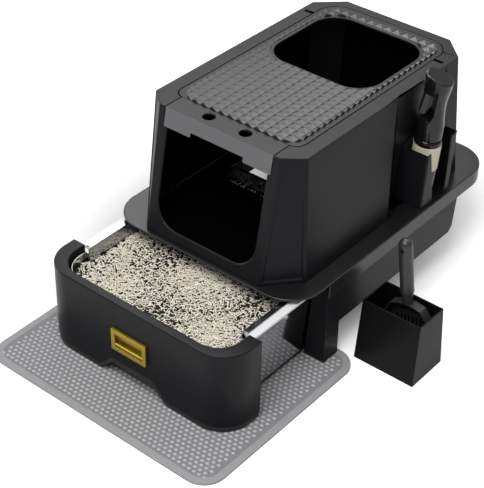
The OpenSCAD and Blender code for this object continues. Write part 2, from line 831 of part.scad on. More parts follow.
// The drawer's front wraps round its corners into two wings, and is hollow from below
module front_plan(inset) difference() {
  bow(front_w / 2 - inset, front_y + inset, wing_y - inset, front_r - inset);
  bow(front_w / 2 - wing_t + inset, front_y + front_t - inset, wing_y + over, front_inner_r + inset);
}

module arch_outline() polygon([
  [-arch_w / 2, front_z], [-arch_top_w / 2, front_z + arch_h],
  [arch_top_w / 2, front_z + arch_h], [arch_w / 2, front_z],
  [arch_w / 2, front_z - over], [-arch_w / 2, front_z - over]
]);

module drawer_front() color("#2e2e30") difference() {
  slab(front_z, front_top_z - front_z) front_plan(0);
  slab(front_z - over, front_top_z - front_z - front_wall + over) front_plan(front_wall);
  along_y(front_y - over, front_t + 2 * over) arch_outline();
  along_y(front_y - over, front_wall + 2 * over)
    window(0, plate_z, window_w + 2 * (cup_wall + gap), window_h + 2 * (cup_wall + gap));
  for (side = [-1, 1])
    translate([side * pull_screw_x, front_y + front_wall + over, plate_z]) rotate([90, 0, 0])
      cylinder(r = pull_screw_r + screw_fit, h = front_wall + 2 * over, $fn = fine);
}

// The plinth's lip fills the front's arch, and the toe gap under it repeats the arch's outline
module toe_lip() along_y(front_y + plinth_inset, toe_lip_t) polygon([
  [-arch_w / 2 + 2 * gap, front_z - gap], [-arch_top_w / 2 + gap, front_z + arch_h - gap],
  [arch_top_w / 2 - gap, front_z + arch_h - gap], [arch_w / 2 - 2 * gap, front_z - gap]
]);

// The base carries the front, the panels, and two ribs for the tray, and its front end is a plinth
module drawer_base() color("#242426") {
  difference() {
    union() {
      slab(plinth_z, plinth_h)
        bow(front_w / 2 - plinth_inset, front_y + plinth_inset, wing_y, front_r - plinth_inset);
      toe_lip();
    }
    translate([0, 0, -plinth_h]) along_y(front_y - over, toe_depth + over) arch_outline();
    both_sides() translate([glide_x, glide_ys[0], plinth_z - over])
      cylinder(r = glide_r + gap, h = over + base_z - plinth_z, $fn = fine);
  }
  translate([-panel_foot_w / 2, wing_y - over, base_z])
    cube([panel_foot_w, drawer_back_y - wing_y + over, base_t]);
  for (y = rib_ys) translate([-rib_w / 2, y, base_top - over])
    cube([rib_w, rib_t, tray_z - gap - base_top + over]);
}

module drawer_back() color("#2a2a2c")
  along_y(drawer_back_y - panel_t, panel_t) polygon([
    [-panel_foot_w / 2, base_top], [panel_foot_w / 2, base_top],
    [panel_top_w / 2, rail_z], [-panel_top_w / 2, rail_z]
  ]);

module side_panel() along_y(wing_y, drawer_back_y - panel_t - wing_y) polygon([
  [panel_foot_w / 2, base_top], [panel_top_w / 2, rail_z],
  [panel_top_w / 2 - panel_t, rail_z], [panel_foot_w / 2 - panel_t, base_top]
]);

module side_panel_right() color("#18181a") side_panel();
module side_panel_left() color("#18181a") mirror([1, 0, 0]) side_panel();

// A rail lies on each panel's top edge and stands out past it
module top_rail() translate([tray_x(rail_top) + tray_gap, wing_y, rail_z])
  cube([rail_span / 2 - tray_x(rail_top) - tray_gap, drawer_back_y - wing_y, rail_t]);

module top_rail_right() color("#e8e8ea") top_rail();
module top_rail_left() color("#e8e8ea") mirror([1, 0, 0]) top_rail();

// Outer face of the tray's side wall at a height: it leans as the panel does
function tray_x(z) = panel_foot_w / 2 - panel_t - tray_fit + panel_slope * (z - base_top);

// The tray's body, or its inside when moved in by its wall
module tray_form(inset, foot, top, front_top) {
  slab(foot, front_top - foot)
    bow(tray_front_x - inset, tray_front_y + inset, tray_front_end - inset, front_inner_r - inset);
  along_y(tray_front_end - 2 * rib_t - inset, tray_back_y - tray_front_end + 2 * rib_t) polygon([
    [-tray_x(foot) + inset, foot], [tray_x(foot) - inset, foot],
    [tray_x(top) - inset, top], [-tray_x(top) + inset, top]
  ]);
}

module litter_tray() color("#232325") difference() {
  union() {
    tray_form(0, tray_z, front_top_z, front_top_z - tray_drop);
    slab(rail_top, tray_lip_t) translate([-tray_lip_x, wing_y + gap])
      square([2 * tray_lip_x, drawer_back_y - wing_y - gap]);
  }
  tray_form(tray_wall, tray_z + tray_wall, front_top_z + over, front_top_z + over);
}

module litter() color("#dcd4bb")
  tray_form(tray_wall + litter_gap, tray_z + tray_wall + litter_gap, litter_z, litter_z);

module glide_pads() color("#4a4a4c")
  for (y = glide_ys) both_sides() translate([glide_x, y, pad_foot])
    cylinder(r = glide_r, h = base_z - pad_foot, $fn = fine);

// The pull is a plate with a recess for the fingers, crossed by a bar
module pull_plate() color("#c9a52a") difference() {
  union() {
    along_y(front_y - plate_t, plate_t) window(0, plate_z, plate_w, plate_h);
    along_y(front_y - plate_t, plate_t + cup_depth)
      window(0, plate_z, window_w + 2 * cup_wall, window_h + 2 * cup_wall);
  }
  along_y(front_y - plate_t - over, plate_t + cup_depth - cup_wall + over)
    window(0, plate_z, window_w, window_h);
  for (side = [-1, 1]) translate([side * pull_screw_x, front_y + over, plate_z]) rotate([90, 0, 0])
    cylinder(r = pull_screw_r + pin_fit, h = 2 * plate_t / 3 + over, $fn = fine);
}

module pull_grip() color("#dcb93a")
  along_y(front_y - plate_t, grip_t) window(0, grip_z + grip_t / 2, window_w, grip_t);

module pull_screws() color("silver") for (side = [-1, 1]) {
  translate([side * pull_screw_x, front_y + front_wall + pull_head_t, plate_z]) rotate([90, 0, 0])
    cylinder(r = pull_head_r, h = pull_head_t, $fn = fine);
  translate([side * pull_screw_x, front_y + front_wall, plate_z]) rotate([90, 0, 0])
    cylinder(r = pull_screw_r, h = front_wall + plate_t / 2, $fn = fine);
}

// The pocket leans with the hood's recess, and its outer wall is split by a slot that widens upwards
module pocket_form(inset, foot) {
  top = deck_z + pocket_h + pocket_rise + (inset > 0 ? over : 0);
  along_y(pocket_y + inset, pocket_len - 2 * inset) polygon([
    [pocket_in + inset + lean_slope * (foot - deck_z), foot],
    [pocket_out - inset + flare_slope * (foot - deck_z), foot],
    [pocket_out - inset + flare_slope * (top - deck_z), top],
    [pocket_in + inset + lean_slope * (top - deck_z), top]
  ]);
}

module bottle_pocket() color("#2b2b2d") difference() {
  intersection() {
    pocket_form(0, deck_z);
    along_x(recess_x - over, hood_w) polygon([
      [pocket_y, deck_z], [pocket_back, deck_z],
      [pocket_back, deck_z + pocket_h + pocket_rise], [pocket_y, deck_z + pocket_h]
    ]);
  }
  pocket_form(pocket_wall, deck_z + pocket_wall);
  along_x(pocket_out - pocket_wall - gap, hood_w) polygon([
    [pocket_y + slot_y, deck_z - over], [pocket_y + slot_y + slot_w, deck_z - over],
    [pocket_y + slot_top_y + slot_top_w, deck_z + pocket_h + pocket_rise],
    [pocket_y + slot_top_y + slot_top_w, deck_z + pocket_h + 2 * pocket_rise],
    [pocket_y + slot_top_y, deck_z + pocket_h + 2 * pocket_rise],
    [pocket_y + slot_top_y, deck_z + pocket_h + pocket_rise]
  ]);
  for (y = pocket_screw_ys()) pocket_screw_place(y) translate([0, 0, -pocket_wall - over])
    cylinder(r = screw_r + screw_fit, h = pocket_wall + 2 * over, $fn = fine);
}

function pocket_screw_ys() = [pocket_y + pocket_screw_inset, pocket_back - pocket_screw_inset];

// Frame of a pocket screw: its head's seat is the origin, and Z points away from the hood
module pocket_screw_place(y)
  translate([pocket_in + pocket_wall / cos(lean) + lean_slope * pocket_screw_h, y, deck_z + pocket_screw_h])
    rotate([0, 90 + lean, 0]) children();

module pocket_screws() color("silver") for (y = pocket_screw_ys()) pocket_screw_place(y) {
  cylinder(r = pocket_head_r, h = pocket_head_t, $fn = fine);
  translate([0, 0, -pocket_wall - hood_wall])
    cylinder(r = screw_r, h = pocket_wall + hood_wall, $fn = fine);
}

// Frame of the bottle: its foot's middle is the origin, and Z runs up its leaning axis
module on_bottle() translate([bottle_x, bottle_y, bottle_z]) rotate([0, lean, 0]) children();

// Frame of the sprayer: X points to the nozzle
module on_sprayer() on_bottle() rotate([0, 0, 180 + head_turn]) children();

function shoulder_arc(inset) = [
  for (a = [0 : 15 : 90]) [
    neck_r - inset + (bottle_r - neck_r) * cos(a),
    bottle_h + shoulder_h * sin(a)
  ]
];
function reversed(list) = [for (i = [len(list) - 1 : -1 : 0]) list[i]];

module spray_bottle() color("#151517") on_bottle() rotate_extrude($fn = fine) polygon(concat(
  [[0, 0], [bottle_r - foot_cut, 0], [bottle_r, foot_cut]],
  shoulder_arc(0),
  [[neck_r, neck_s + neck_len], [neck_r - bottle_wall, neck_s + neck_len]],
  reversed(shoulder_arc(bottle_wall)),
  [[bottle_r - bottle_wall, foot_cut], [0, foot_cut]]
));

module ring(inner, outer, z, h) translate([0, 0, z]) difference() {
  cylinder(r = outer, h = h, $fn = fine);
  translate([0, 0, -over]) cylinder(r = inner, h = h + 2 * over, $fn = fine);
}

module bottle_label() color("#d9d0b4") on_bottle()
  ring(bottle_r + pin_fit, bottle_r + label_t, label_y0, label_h);

module bottle_collar() color("#1b1b1d") on_bottle() {
  ring(neck_r + gap, neck_r + collar_wall, collar_s, neck_s + neck_len + gap - collar_s);
  ring(tube_r + gap, neck_r + collar_wall, neck_s + neck_len + gap, collar_top - neck_s - neck_len - gap);
}

function shroud_points(shares, end_r) = [
  for (p = shares) [waist_r + (end_r - waist_r) * p[1], shroud_s + head_h * p[0]]
];

// What the mouth of the sprayer leaves out: the room of the trigger
module sprayer_mouth() {
  along_y(-2 * head_r, 4 * head_r) polygon([
    [column_front + mouth_lip, mouth_s], [2 * head_r, mouth_s - mouth_lip],
    [2 * head_r, mouth_top], [column_front, mouth_top], [column_front, mouth_s + 2 * mouth_lip]
  ]);
  translate([trigger_x - trigger_depth / 2 - 3 * slot_fit, -trigger_w / 2 - slot_fit, mouth_top - over])
    cube([trigger_depth + 4 * slot_fit, trigger_w + 2 * slot_fit, slot_rise + over]);
}

module sprayer_head() color("#2d2d30") on_sprayer() difference() {
  rotate_extrude($fn = fine) polygon(concat(
    [[0, shroud_s]],
    shroud_points(foot_shares, shroud_r),
    shroud_points(head_shares, head_r),
    [[0, head_top]]
  ));
  along_y(-2 * head_r, 4 * head_r) polygon([
    [-2 * head_r, head_top - 2 * top_drop],
    [2 * head_r, head_top + top_drop],
    [-2 * head_r, head_top + top_drop]
  ]);
  sprayer_mouth();
  translate([0, 0, shroud_s - over])
    cylinder(r = shroud_r - shroud_wall, h = 2 * shroud_drop + over, $fn = fine);
  translate([0, 0, shroud_s - over])
    cylinder(r = neck_r + collar_wall + gap, h = collar_top + gap - shroud_s + over, $fn = fine);
  translate([nozzle_x - gap, 0, nozzle_s]) rotate([0, 90, 0])
    cylinder(r = nozzle_r + gap, h = head_r, $fn = fine);
  on_trigger_axis(trigger_pin_r + pin_fit, trigger_pin_len + 2 * gap);
}

module sprayer_nozzle() color("#1b1b1d") on_sprayer() translate([nozzle_x, 0, nozzle_s]) rotate([0, 90, 0])
  difference() {
    cylinder(r = nozzle_r, h = nozzle_len, $fn = fine);
    translate([0, 0, nozzle_len / 2]) cylinder(r = nozzle_r / 3, h = nozzle_len, $fn = fine);
  }

// A cylinder across the sprayer, on the trigger's axis
module on_trigger_axis(radius, width) translate([trigger_x, width / 2, trigger_s]) rotate([90, 0, 0])
  cylinder(r = radius, h = width, $fn = fine);

module sprayer_trigger() color("#3a3a3d") on_sprayer() difference() {
  union() {
    along_y(-trigger_w / 2, trigger_w) polygon([
      [trigger_x - 2 * trigger_pin_r, trigger_s], [trigger_x + 2 * trigger_pin_r, trigger_s],
      [trigger_x + trigger_depth / 2, mouth_top - trigger_neck],
      [trigger_x + trigger_depth / 2 + trigger_lean, trigger_s - trigger_len + trigger_tip],
      [trigger_x + trigger_depth / 2 + trigger_lean - trigger_tip, trigger_s - trigger_len],
      [trigger_x - trigger_depth / 2 + trigger_lean, trigger_s - trigger_len + trigger_tip / 2],
      [trigger_x - trigger_depth / 2, mouth_top - trigger_neck]
    ]);
    on_trigger_axis(2 * trigger_pin_r, trigger_w);
  }
  on_trigger_axis(trigger_pin_r + trigger_fit, trigger_w + 2 * over);
}

module trigger_pin() color("silver") on_sprayer() on_trigger_axis(trigger_pin_r, trigger_pin_len);

module dip_tube() color("#c9c9c9") on_bottle()
  ring(tube_r / 2, tube_r, tube_foot, collar_top - tube_foot);

// A bin form: its sides lean in both ways from the foot to the top
module bin_form(inset, foot, top) intersection() {
  along_y(bin_y - bin_foot_d, 2 * bin_foot_d) polygon([
    [bin_x - bin_foot_w / 2 + inset, foot], [bin_x + bin_foot_w / 2 - inset, foot],
    [bin_x + bin_top_w / 2 - inset, top], [bin_x - bin_top_w / 2 + inset, top]
  ]);
  along_x(bin_x - bin_foot_w, 2 * bin_foot_w) polygon([
    [bin_y - bin_foot_d / 2 + inset, foot], [bin_y + bin_foot_d / 2 - inset, foot],
    [bin_y + bin_top_d / 2 - inset, top], [bin_y - bin_top_d / 2 + inset, top]
  ]);
}

module scoop_bin() color("#29292b") difference() {
  bin_form(0, 0, bin_h);
  bin_form(bin_wall, bin_wall, bin_h + gap);
}

// Frame of the scoop: the handle meets the blade at the origin, and Z runs up the leaning handle
module on_scoop() translate([scoop_x, scoop_y, scoop_z]) rotate([0, -scoop_lean, 0]) children();

module blade_outline(inset, drop) polygon([
  [-tip_half + inset, -blade_len - shoulder - drop], [tip_half - inset, -blade_len - shoulder - drop],
  [blade_w / 2 - inset, -shoulder * flank_share], [blade_w / 3 - inset, -shoulder / 4 - inset / 2],
  [grip_r - inset, -inset], [-grip_r + inset, -inset],
  [-blade_w / 3 + inset, -shoulder / 4 - inset / 2], [-blade_w / 2 + inset, -shoulder * flank_share]
]);

// The blade is a shovel with an open tip and a slotted back
module scoop_blade() color("#313133") on_scoop() difference() {
  along_y(-blade_d / 2, blade_d) blade_outline(0, 0);
  along_y(-blade_d / 2 - over, blade_d - blade_wall + over) blade_outline(blade_wall, over);
  for (i = [0 : sift_count - 1])
    translate([(i - (sift_count - 1) / 2) * 2 * sift_w - sift_w / 2, 0, -blade_len - shoulder / 2])
      cube([sift_w, blade_d, blade_len - shoulder]);
}

module scoop_handle() color("#3a3a3c") on_scoop() difference() {
  union() {
    cylinder(r = grip_r * neck_share, h = grip_len / 2, $fn = fine);
    translate([0, 0, grip_len / 6]) cylinder(r = grip_r, h = grip_len * 5 / 6 - grip_r, $fn = fine);
    translate([0, 0, grip_len - grip_r]) sphere(r = grip_r, $fn = fine);
  }
  translate([0, 2 * grip_r, grip_len - grip_r - hang_drop]) rotate([90, 0, 0])
    cylinder(r = hang_r, h = 4 * grip_r, $fn = fine);
}

mat_base();
mat_top();
deck();
skirt_frame();
front_leg_left();
front_leg_right();
rear_leg_left();
rear_leg_right();
leg_pads();
leg_screws();
hood_shell();
hood_screws();
lid_front();
lid_panel();
lid_hinge_pins();
drawer_front();
drawer_base();
drawer_back();
side_panel_left();
side_panel_right();
top_rail_left();
top_rail_right();
litter_tray();
litter();
glide_pads();
pull_plate();
pull_grip();
pull_screws();
bottle_pocket();
pocket_screws();
spray_bottle();
bottle_label();
bottle_collar();
sprayer_head();
sprayer_nozzle();
sprayer_trigger();
trigger_pin();
dip_tube();
scoop_bin();
scoop_blade();
scoop_handle();
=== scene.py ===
# %% [markdown]
# A drawer litter box, dressed for a picture
#
# The box stands on a dimpled mat: a deck on four legs carries a hood with a lid, and a drawer full of
# litter slides out from under it. A spray bottle leans in a pocket on the hood, and a scoop stands in a bin.
# The lesson loads the box's solids as a fixed frame, and then gives every piece its softened edges, its
# patterns and its surface. All lengths are in metres, and the drawer slides along Y.

# %% Load the frame
import json
import math
import random

import bmesh
import bpy
from mathutils import Matrix, Vector

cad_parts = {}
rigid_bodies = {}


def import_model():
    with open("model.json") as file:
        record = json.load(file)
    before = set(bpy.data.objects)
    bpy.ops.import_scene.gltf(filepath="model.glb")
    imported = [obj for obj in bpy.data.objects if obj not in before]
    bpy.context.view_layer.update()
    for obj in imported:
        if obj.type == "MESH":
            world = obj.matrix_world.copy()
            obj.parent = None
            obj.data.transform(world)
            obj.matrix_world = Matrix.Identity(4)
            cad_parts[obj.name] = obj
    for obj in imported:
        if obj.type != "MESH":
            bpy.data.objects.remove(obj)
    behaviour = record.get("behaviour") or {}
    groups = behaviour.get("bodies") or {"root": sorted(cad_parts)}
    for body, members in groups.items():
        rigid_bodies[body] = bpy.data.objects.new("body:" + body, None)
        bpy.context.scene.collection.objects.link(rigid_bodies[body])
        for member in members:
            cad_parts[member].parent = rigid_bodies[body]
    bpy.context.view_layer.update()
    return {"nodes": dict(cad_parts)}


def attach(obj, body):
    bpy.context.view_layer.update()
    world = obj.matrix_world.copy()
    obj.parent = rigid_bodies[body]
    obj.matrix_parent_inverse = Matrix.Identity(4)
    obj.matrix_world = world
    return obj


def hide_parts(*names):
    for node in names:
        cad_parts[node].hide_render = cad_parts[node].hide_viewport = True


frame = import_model()
nodes = frame["nodes"]
print("pieces in the frame:", len(nodes))

# %% [markdown]
# The camera
#
# It stands high at the box's right front corner, with a long lens, so that the box shows its front, its right
# side and its top at once. Its place and its turn were worked out from the straight edges of the box. A Track To
# constraint could aim it, but would keep it level, and the picture is rolled by a degree. So it gets its matrix.

# %% Place the camera
PLACE = (1.22418, -1.40552, 1.58499)
HEADING, TILT, ROLL = math.radians(38.802), math.radians(90 - 36.441), math.radians(1.306)
lens = bpy.data.cameras.new("long_lens")
lens.sensor_width = 36.0
lens.lens = 103.65
lens.clip_start, lens.clip_end = 0.05, 60.0
camera = bpy.data.objects.new("camera", lens)
bpy.context.collection.objects.link(camera)
camera.matrix_world = (Matrix.Translation(PLACE) @ Matrix.Rotation(HEADING, 4, "Z")
                       @ Matrix.Rotation(TILT, 4, "X") @ Matrix.Rotation(ROLL, 4, "Z"))
bpy.context.scene.camera = camera
print("camera's distance from the origin:", round(Vector(PLACE).length, 3), "m")

# %% [markdown]
# Colours and nodes
#
# Colours are written as the screen shows them, and the renderer wants them linear, so one function turns them.
# Another adds a node with its settings and its links, which keeps each material readable.

# %% Helpers for colours and nodes
def linear(code):
    parts = [int(code[i:i + 2], 16) / 255 for i in (1, 3, 5)]
    return [c / 12.92 if c <= 0.04045 else ((c + 0.055) / 1.055) ** 2.4 for c in parts] + [1.0]


def add_node(tree, kind, inputs=(), **settings):
    node = tree.nodes.new(kind)
    for name, value in settings.items():
        setattr(node, name, value)
    for name, value in dict(inputs).items():
        if isinstance(value, bpy.types.NodeSocket):
            tree.links.new(value, node.inputs[name])
        else:
            node.inputs[name].default_value = value
    return node


def new_material(name):
    material = bpy.data.materials.new(name)
    material.use_nodes = True
    tree = material.node_tree
    tree.nodes.clear()
    out = add_node(tree, "ShaderNodeOutputMaterial")
    return material, tree, out


def place_on(tree, scale=1.0):
    coords = add_node(tree, "ShaderNodeTexCoord")
    where = add_node(tree, "ShaderNodeMapping", {0: coords.outputs["Object"], 3: (scale, scale, scale)})
    return where.outputs[0]


print("linear grey of #808080:", round(linear("#808080")[0], 4))

# %% [markdown]
# Moulded polypropylene
#
# Hood, deck, skirt and drawer front are injection-moulded polypropylene with a fine spark-eroded grain. To the
# eye this is a near-black grey with a wide, soft sheen, so faces that look at bright surroundings turn grey.
# An image could carry the grain, but noise in object coordinates needs no unwrapping and keeps its size on every
# piece. Real grain is about 0.1 mm wide, too fine to show here, so it is drawn about 1 mm wide and very shallow.
# The pieces differ mostly in gloss: the deck and the lid's grip keep more sheen than the hood and the bin. The
# hood's inner walls and the deck between them are painted near-black and without sheen, as painted shade, because
# little light gets in there.

# %% A function for moulded plastics
def moulded(name, dark, light, rough, grain=0.001, height=0.00004, gloss=0.5, coat=0.0):
    material, tree, out = new_material(name)
    where = place_on(tree)
    cloud = add_node(tree, "ShaderNodeTexNoise", {"Vector": where, "Scale": 9.0, "Detail": 3.0})
    tint = add_node(tree, "ShaderNodeMix", {0: cloud.outputs["Fac"], 6: linear(dark), 7: linear(light)},
                    data_type="RGBA")
    pits = add_node(tree, "ShaderNodeTexNoise", {"Vector": where, "Scale": 1 / grain, "Detail": 2.0})
    shine = add_node(tree, "ShaderNodeMapRange", {0: cloud.outputs["Fac"], 3: rough - 0.04, 4: rough + 0.05})
    bump = add_node(tree, "ShaderNodeBump", {"Height": pits.outputs["Fac"], "Distance": height, "Strength": 1.0})
    skin = add_node(tree, "ShaderNodeBsdfPrincipled", {
        "Base Color": tint.outputs[2], "Roughness": shine.outputs[0], "Normal": bump.outputs[0],
        "IOR": 1.49, "Specular IOR Level": gloss, "Coat Weight": coat, "Coat Roughness": 0.15})
    tree.links.new(skin.outputs[0], out.inputs[0])
    return material


polypropylene = moulded("moulded_polypropylene", "#151518", "#1a1a1d", 0.34, gloss=0.13)
deck_polypropylene = moulded("moulded_polypropylene_deck", "#141416", "#1a1a1c", 0.3, gloss=0.4)
# The lid's panel, strip and grip are one moulding painted in three greys, darkest on the panel and lightest on the
# grip: painted light and shade.
lid_polypropylene = moulded("moulded_polypropylene_lid", "#19191b", "#1e1e20", 0.36, gloss=0.16)
grip_polypropylene = moulded("moulded_polypropylene_grip", "#2b2b2d", "#333335", 0.24, gloss=0.6)
strip_polypropylene = moulded("moulded_polypropylene_strip", "#242426", "#2a2a2c", 0.45, gloss=0.2)
# Painted light: the fascia is part of the lid's moulding, painted a lighter grey for the light on its front.
fascia_painted_light = moulded("moulded_polypropylene_fascia_painted_light", "#606062", "#68686b", 0.5, gloss=0.2)
# Painted shade: a near-black grey without sheen for the faces inside the hood and the deck under it.
painted_shade_polypropylene = moulded("moulded_polypropylene_painted_shade", "#030303", "#050505", 0.9, gloss=0.0)
tray_polypropylene = moulded("moulded_polypropylene_tray", "#1d1d1f", "#222224", 0.48)
bin_polypropylene = moulded("moulded_polypropylene_bin", "#0c0c0e", "#101012", 0.34, gloss=0.1)
scoop_polypropylene = moulded("moulded_polypropylene_scoop", "#29292b", "#303033", 0.36)
pad_rubber = moulded("moulded_nitrile_rubber", "#161616", "#1c1c1c", 0.75)
print("moulded finishes:", sum(1 for m in bpy.data.materials if m.name.startswith("moulded")))

# %% [markdown]
# The drawer's side panels and rails
#
# The back is polished black acrylic sheet. The side panels are the same sheet with a mirror coat, which comes with
# the metals below. The rails are extruded trim, white with a hard gloss, and the bottle's dip tube is polythene.
# All three are smooth and of one colour, so the function for mouldings serves them too, with other numbers.

# %% Polished sheet and bright trim
acrylic = moulded("cast_acrylic_polished", "#0e0e10", "#121214", 0.1, grain=0.02, height=0.00001,
                  gloss=0.7, coat=0.6)
trim = moulded("extruded_white_trim", "#e4e4e6", "#ededef", 0.25, grain=0.004, height=0.00001)
tube_polythene = moulded("extruded_polythene", "#c2c2c0", "#cfcfcc", 0.3)

# %% [markdown]
# Steel, mirror coat and lacquered brass
#
# Screws are turned from steel and plated, which leaves a pale blue-grey metal. The lid's hinge pins are painted
# near-black, as painted shade, so that their slots look dark. The mirror coat on the side panels shows the mat and
# the legs. The litter's tray is pressed from polished stainless sheet. The drawer's pull is stamped brass under a
# clear lacquer: the brushing runs across it in lines about 0.4 mm apart. Anisotropic shading could give its
# sheen, but a noise that is stretched along one axis also shows the single lines.

# %% Metals
def metal(name, dark, light, rough, stretch=(1, 1, 1), line=0.0004):
    material, tree, out = new_material(name)
    coords = add_node(tree, "ShaderNodeTexCoord")
    where = add_node(tree, "ShaderNodeMapping", {0: coords.outputs["Object"], 3: stretch}).outputs[0]
    lines = add_node(tree, "ShaderNodeTexNoise", {"Vector": where, "Scale": 1 / line, "Detail": 2.0})
    tint = add_node(tree, "ShaderNodeMix", {0: lines.outputs["Fac"], 6: linear(dark), 7: linear(light)},
                    data_type="RGBA")
    shine = add_node(tree, "ShaderNodeMapRange", {0: lines.outputs["Fac"], 3: rough - 0.07, 4: rough + 0.08})
    bump = add_node(tree, "ShaderNodeBump", {"Height": lines.outputs["Fac"], "Distance": 0.00002})
    skin = add_node(tree, "ShaderNodeBsdfPrincipled", {
        "Base Color": tint.outputs[2], "Metallic": 1.0, "Roughness": shine.outputs[0],
        "Normal": bump.outputs[0]})
    tree.links.new(skin.outputs[0], out.inputs[0])
    return material


steel = metal("zinc_plated_steel", "#9b9fa4", "#c3c6ca", 0.32)
black_steel = metal("pin_steel_painted_shade", "#101012", "#1c1c1e", 0.4)
mirror_sheet = metal("mirror_coated_acrylic", "#bcbcbe", "#c4c4c6", 0.09, line=0.02)
tray_steel = metal("polished_stainless_sheet", "#a2a2a4", "#b6b6b8", 0.16, line=0.01)
brass = metal("brushed_brass_lacquered", "#a08a36", "#b8a24a", 0.42, stretch=(0.03, 1, 1))
brass_bar = metal("drawn_brass_lacquered", "#d8bd3a", "#ecd660", 0.25, stretch=(0.03, 1, 1))

# %% [markdown]
# The mat's foamed rubber
#
# The mat is foamed rubber sheet pressed in a mould: dull and mid-grey, with the dimples a lighter grey. A mask
# could lighten those. The dimples are pieces of their own, so a lighter finish does the same with less. The same
# recipe gives the drawer's felt pads and the film of the bottle's label.

# %% Pressed foam rubber, felt and label film
def dull(name, low, high, spot, rough=0.85, sheen=0.0, depth=0.0003):
    material, tree, out = new_material(name)
    where = place_on(tree)
    grit = add_node(tree, "ShaderNodeTexNoise", {"Vector": where, "Scale": 1 / spot, "Detail": 4.0})
    tint = add_node(tree, "ShaderNodeMix", {0: grit.outputs["Fac"], 6: linear(low), 7: linear(high)},
                    data_type="RGBA")
    bump = add_node(tree, "ShaderNodeBump", {"Height": grit.outputs["Fac"], "Distance": depth, "Strength": 0.6})
    skin = add_node(tree, "ShaderNodeBsdfPrincipled", {
        "Base Color": tint.outputs[2], "Roughness": rough, "Normal": bump.outputs[0],
        "Specular IOR Level": 0.3, "Sheen Weight": sheen})
    tree.links.new(skin.outputs[0], out.inputs[0])
    return material


mat_rubber = dull("pressed_foam_rubber", "#959597", "#a2a2a4", 0.002)
mat_field = dull("pressed_foam_rubber_field", "#7e7e80", "#8c8c8e", 0.002)
mat_dimple = dull("pressed_foam_rubber_dimple", "#b2b2b4", "#c0c0c2", 0.003, depth=0.0001)
felt = dull("pressed_wool_felt", "#3d3d3f", "#555557", 0.0007, rough=1.0, sheen=0.4)
label_film = dull("matt_label_film", "#d3cab0", "#e0d9c4", 0.004, rough=0.6, depth=0.00003)

# %% [markdown]
# Litter pellets
#
# The litter is pressed plant fibre, cut into thin curved sticks: cream, with some sticks more tan than others.
# Each stick could get a random colour of its own, but they are joined into one mesh, so noise does it by place:
# one with cells of about 6 mm gives the patches, and a fine one the fibres.

# %% Pressed plant fibre
def pellets(name, low, high, dark):
    material, tree, out = new_material(name)
    where = place_on(tree)
    patch = add_node(tree, "ShaderNodeTexNoise", {"Vector": where, "Scale": 160.0, "Detail": 3.0})
    cream = add_node(tree, "ShaderNodeMix", {0: patch.outputs["Fac"], 6: linear(low), 7: linear(high)},
                     data_type="RGBA")
    fibre = add_node(tree, "ShaderNodeTexNoise", {"Vector": where, "Scale": 1800.0, "Detail": 2.0})
    speck = add_node(tree, "ShaderNodeMapRange", {0: fibre.outputs["Fac"], 1: 0.62, 2: 0.8, 3: 0.0, 4: 0.35})
    tint = add_node(tree, "ShaderNodeMix", {0: speck.outputs[0], 6: cream.outputs[2], 7: linear(dark)},
                    data_type="RGBA")
    bump = add_node(tree, "ShaderNodeBump", {"Height": fibre.outputs["Fac"], "Distance": 0.0002})
    skin = add_node(tree, "ShaderNodeBsdfPrincipled", {
        "Base Color": tint.outputs[2], "Roughness": 0.9, "Normal": bump.outputs[0], "Specular IOR Level": 0.2})
    tree.links.new(skin.outputs[0], out.inputs[0])
    return material


pellet_fibre = pellets("pressed_plant_fibre", "#ece5cf", "#f8f4e8", "#a09270")
# A near-black copy of the litter's finish for the bed under the sticks: painted shade.
litter_shade = pellets("pressed_plant_fibre_shaded", "#16130c", "#28241a", "#080705")

# %% [markdown]
# Tinted bottle plastic
#
# The bottle is blown polyester, tinted a brown so deep that it reads as black. It could be see-through with a
# dark absorption, but no light comes through it in the picture, so a dark, smooth, opaque surface is enough.
# The sprayer is moulded with a polished tool, so its sheen is tighter than that of the grained pieces.

# %% Blown polyester and polished mouldings
def tinted(name, colour):
    material, tree, out = new_material(name)
    where = place_on(tree)
    flow = add_node(tree, "ShaderNodeTexNoise", {"Vector": where, "Scale": 40.0})
    shine = add_node(tree, "ShaderNodeMapRange", {0: flow.outputs["Fac"], 3: 0.04, 4: 0.1})
    skin = add_node(tree, "ShaderNodeBsdfPrincipled", {
        "Base Color": linear(colour), "Roughness": shine.outputs[0], "IOR": 1.57,
        "Specular IOR Level": 0.2, "Coat Weight": 0.1, "Coat Roughness": 0.03})
    tree.links.new(skin.outputs[0], out.inputs[0])
    return material


bottle_polyester = tinted("blown_polyester_tinted", "#1a110b")
polished_plastic = moulded("moulded_polished_tool", "#101012", "#151517", 0.14, grain=0.01, height=0.00001,
                           gloss=0.35, coat=0.15)
trigger_plastic = moulded("moulded_polished_tool_trigger", "#1c1c1e", "#222224", 0.25)

# %% [markdown]
# Selecting and modifying
#
# An operator works on all that is selected, and loading the frame leaves every piece selected. So one helper clears
# the selection, one picks a single object, and one adds a modifier and applies it at once, because the shapes are
# to be plain meshes in the end.

# %% Helpers for objects
def deselect():
    if bpy.context.object and bpy.context.object.mode != "OBJECT":
        bpy.ops.object.mode_set(mode="OBJECT")
    bpy.ops.object.select_all(action="DESELECT")


def only(obj):
    deselect()
    obj.select_set(True)
    bpy.context.view_layer.objects.active = obj
    return obj


def modify(obj, kind, **settings):
    only(obj)
    modifier = obj.modifiers.new(kind.lower(), kind)
    for name, value in settings.items():
        setattr(modifier, name, value)
    bpy.ops.object.modifier_apply(modifier=modifier.name)
    return obj


def smooth(obj, degrees=35):
    only(obj)
    bpy.ops.object.shade_smooth_by_angle(angle=math.radians(degrees))


print("selected before the first piece:", sum(obj.select_get() for obj in bpy.context.scene.objects))
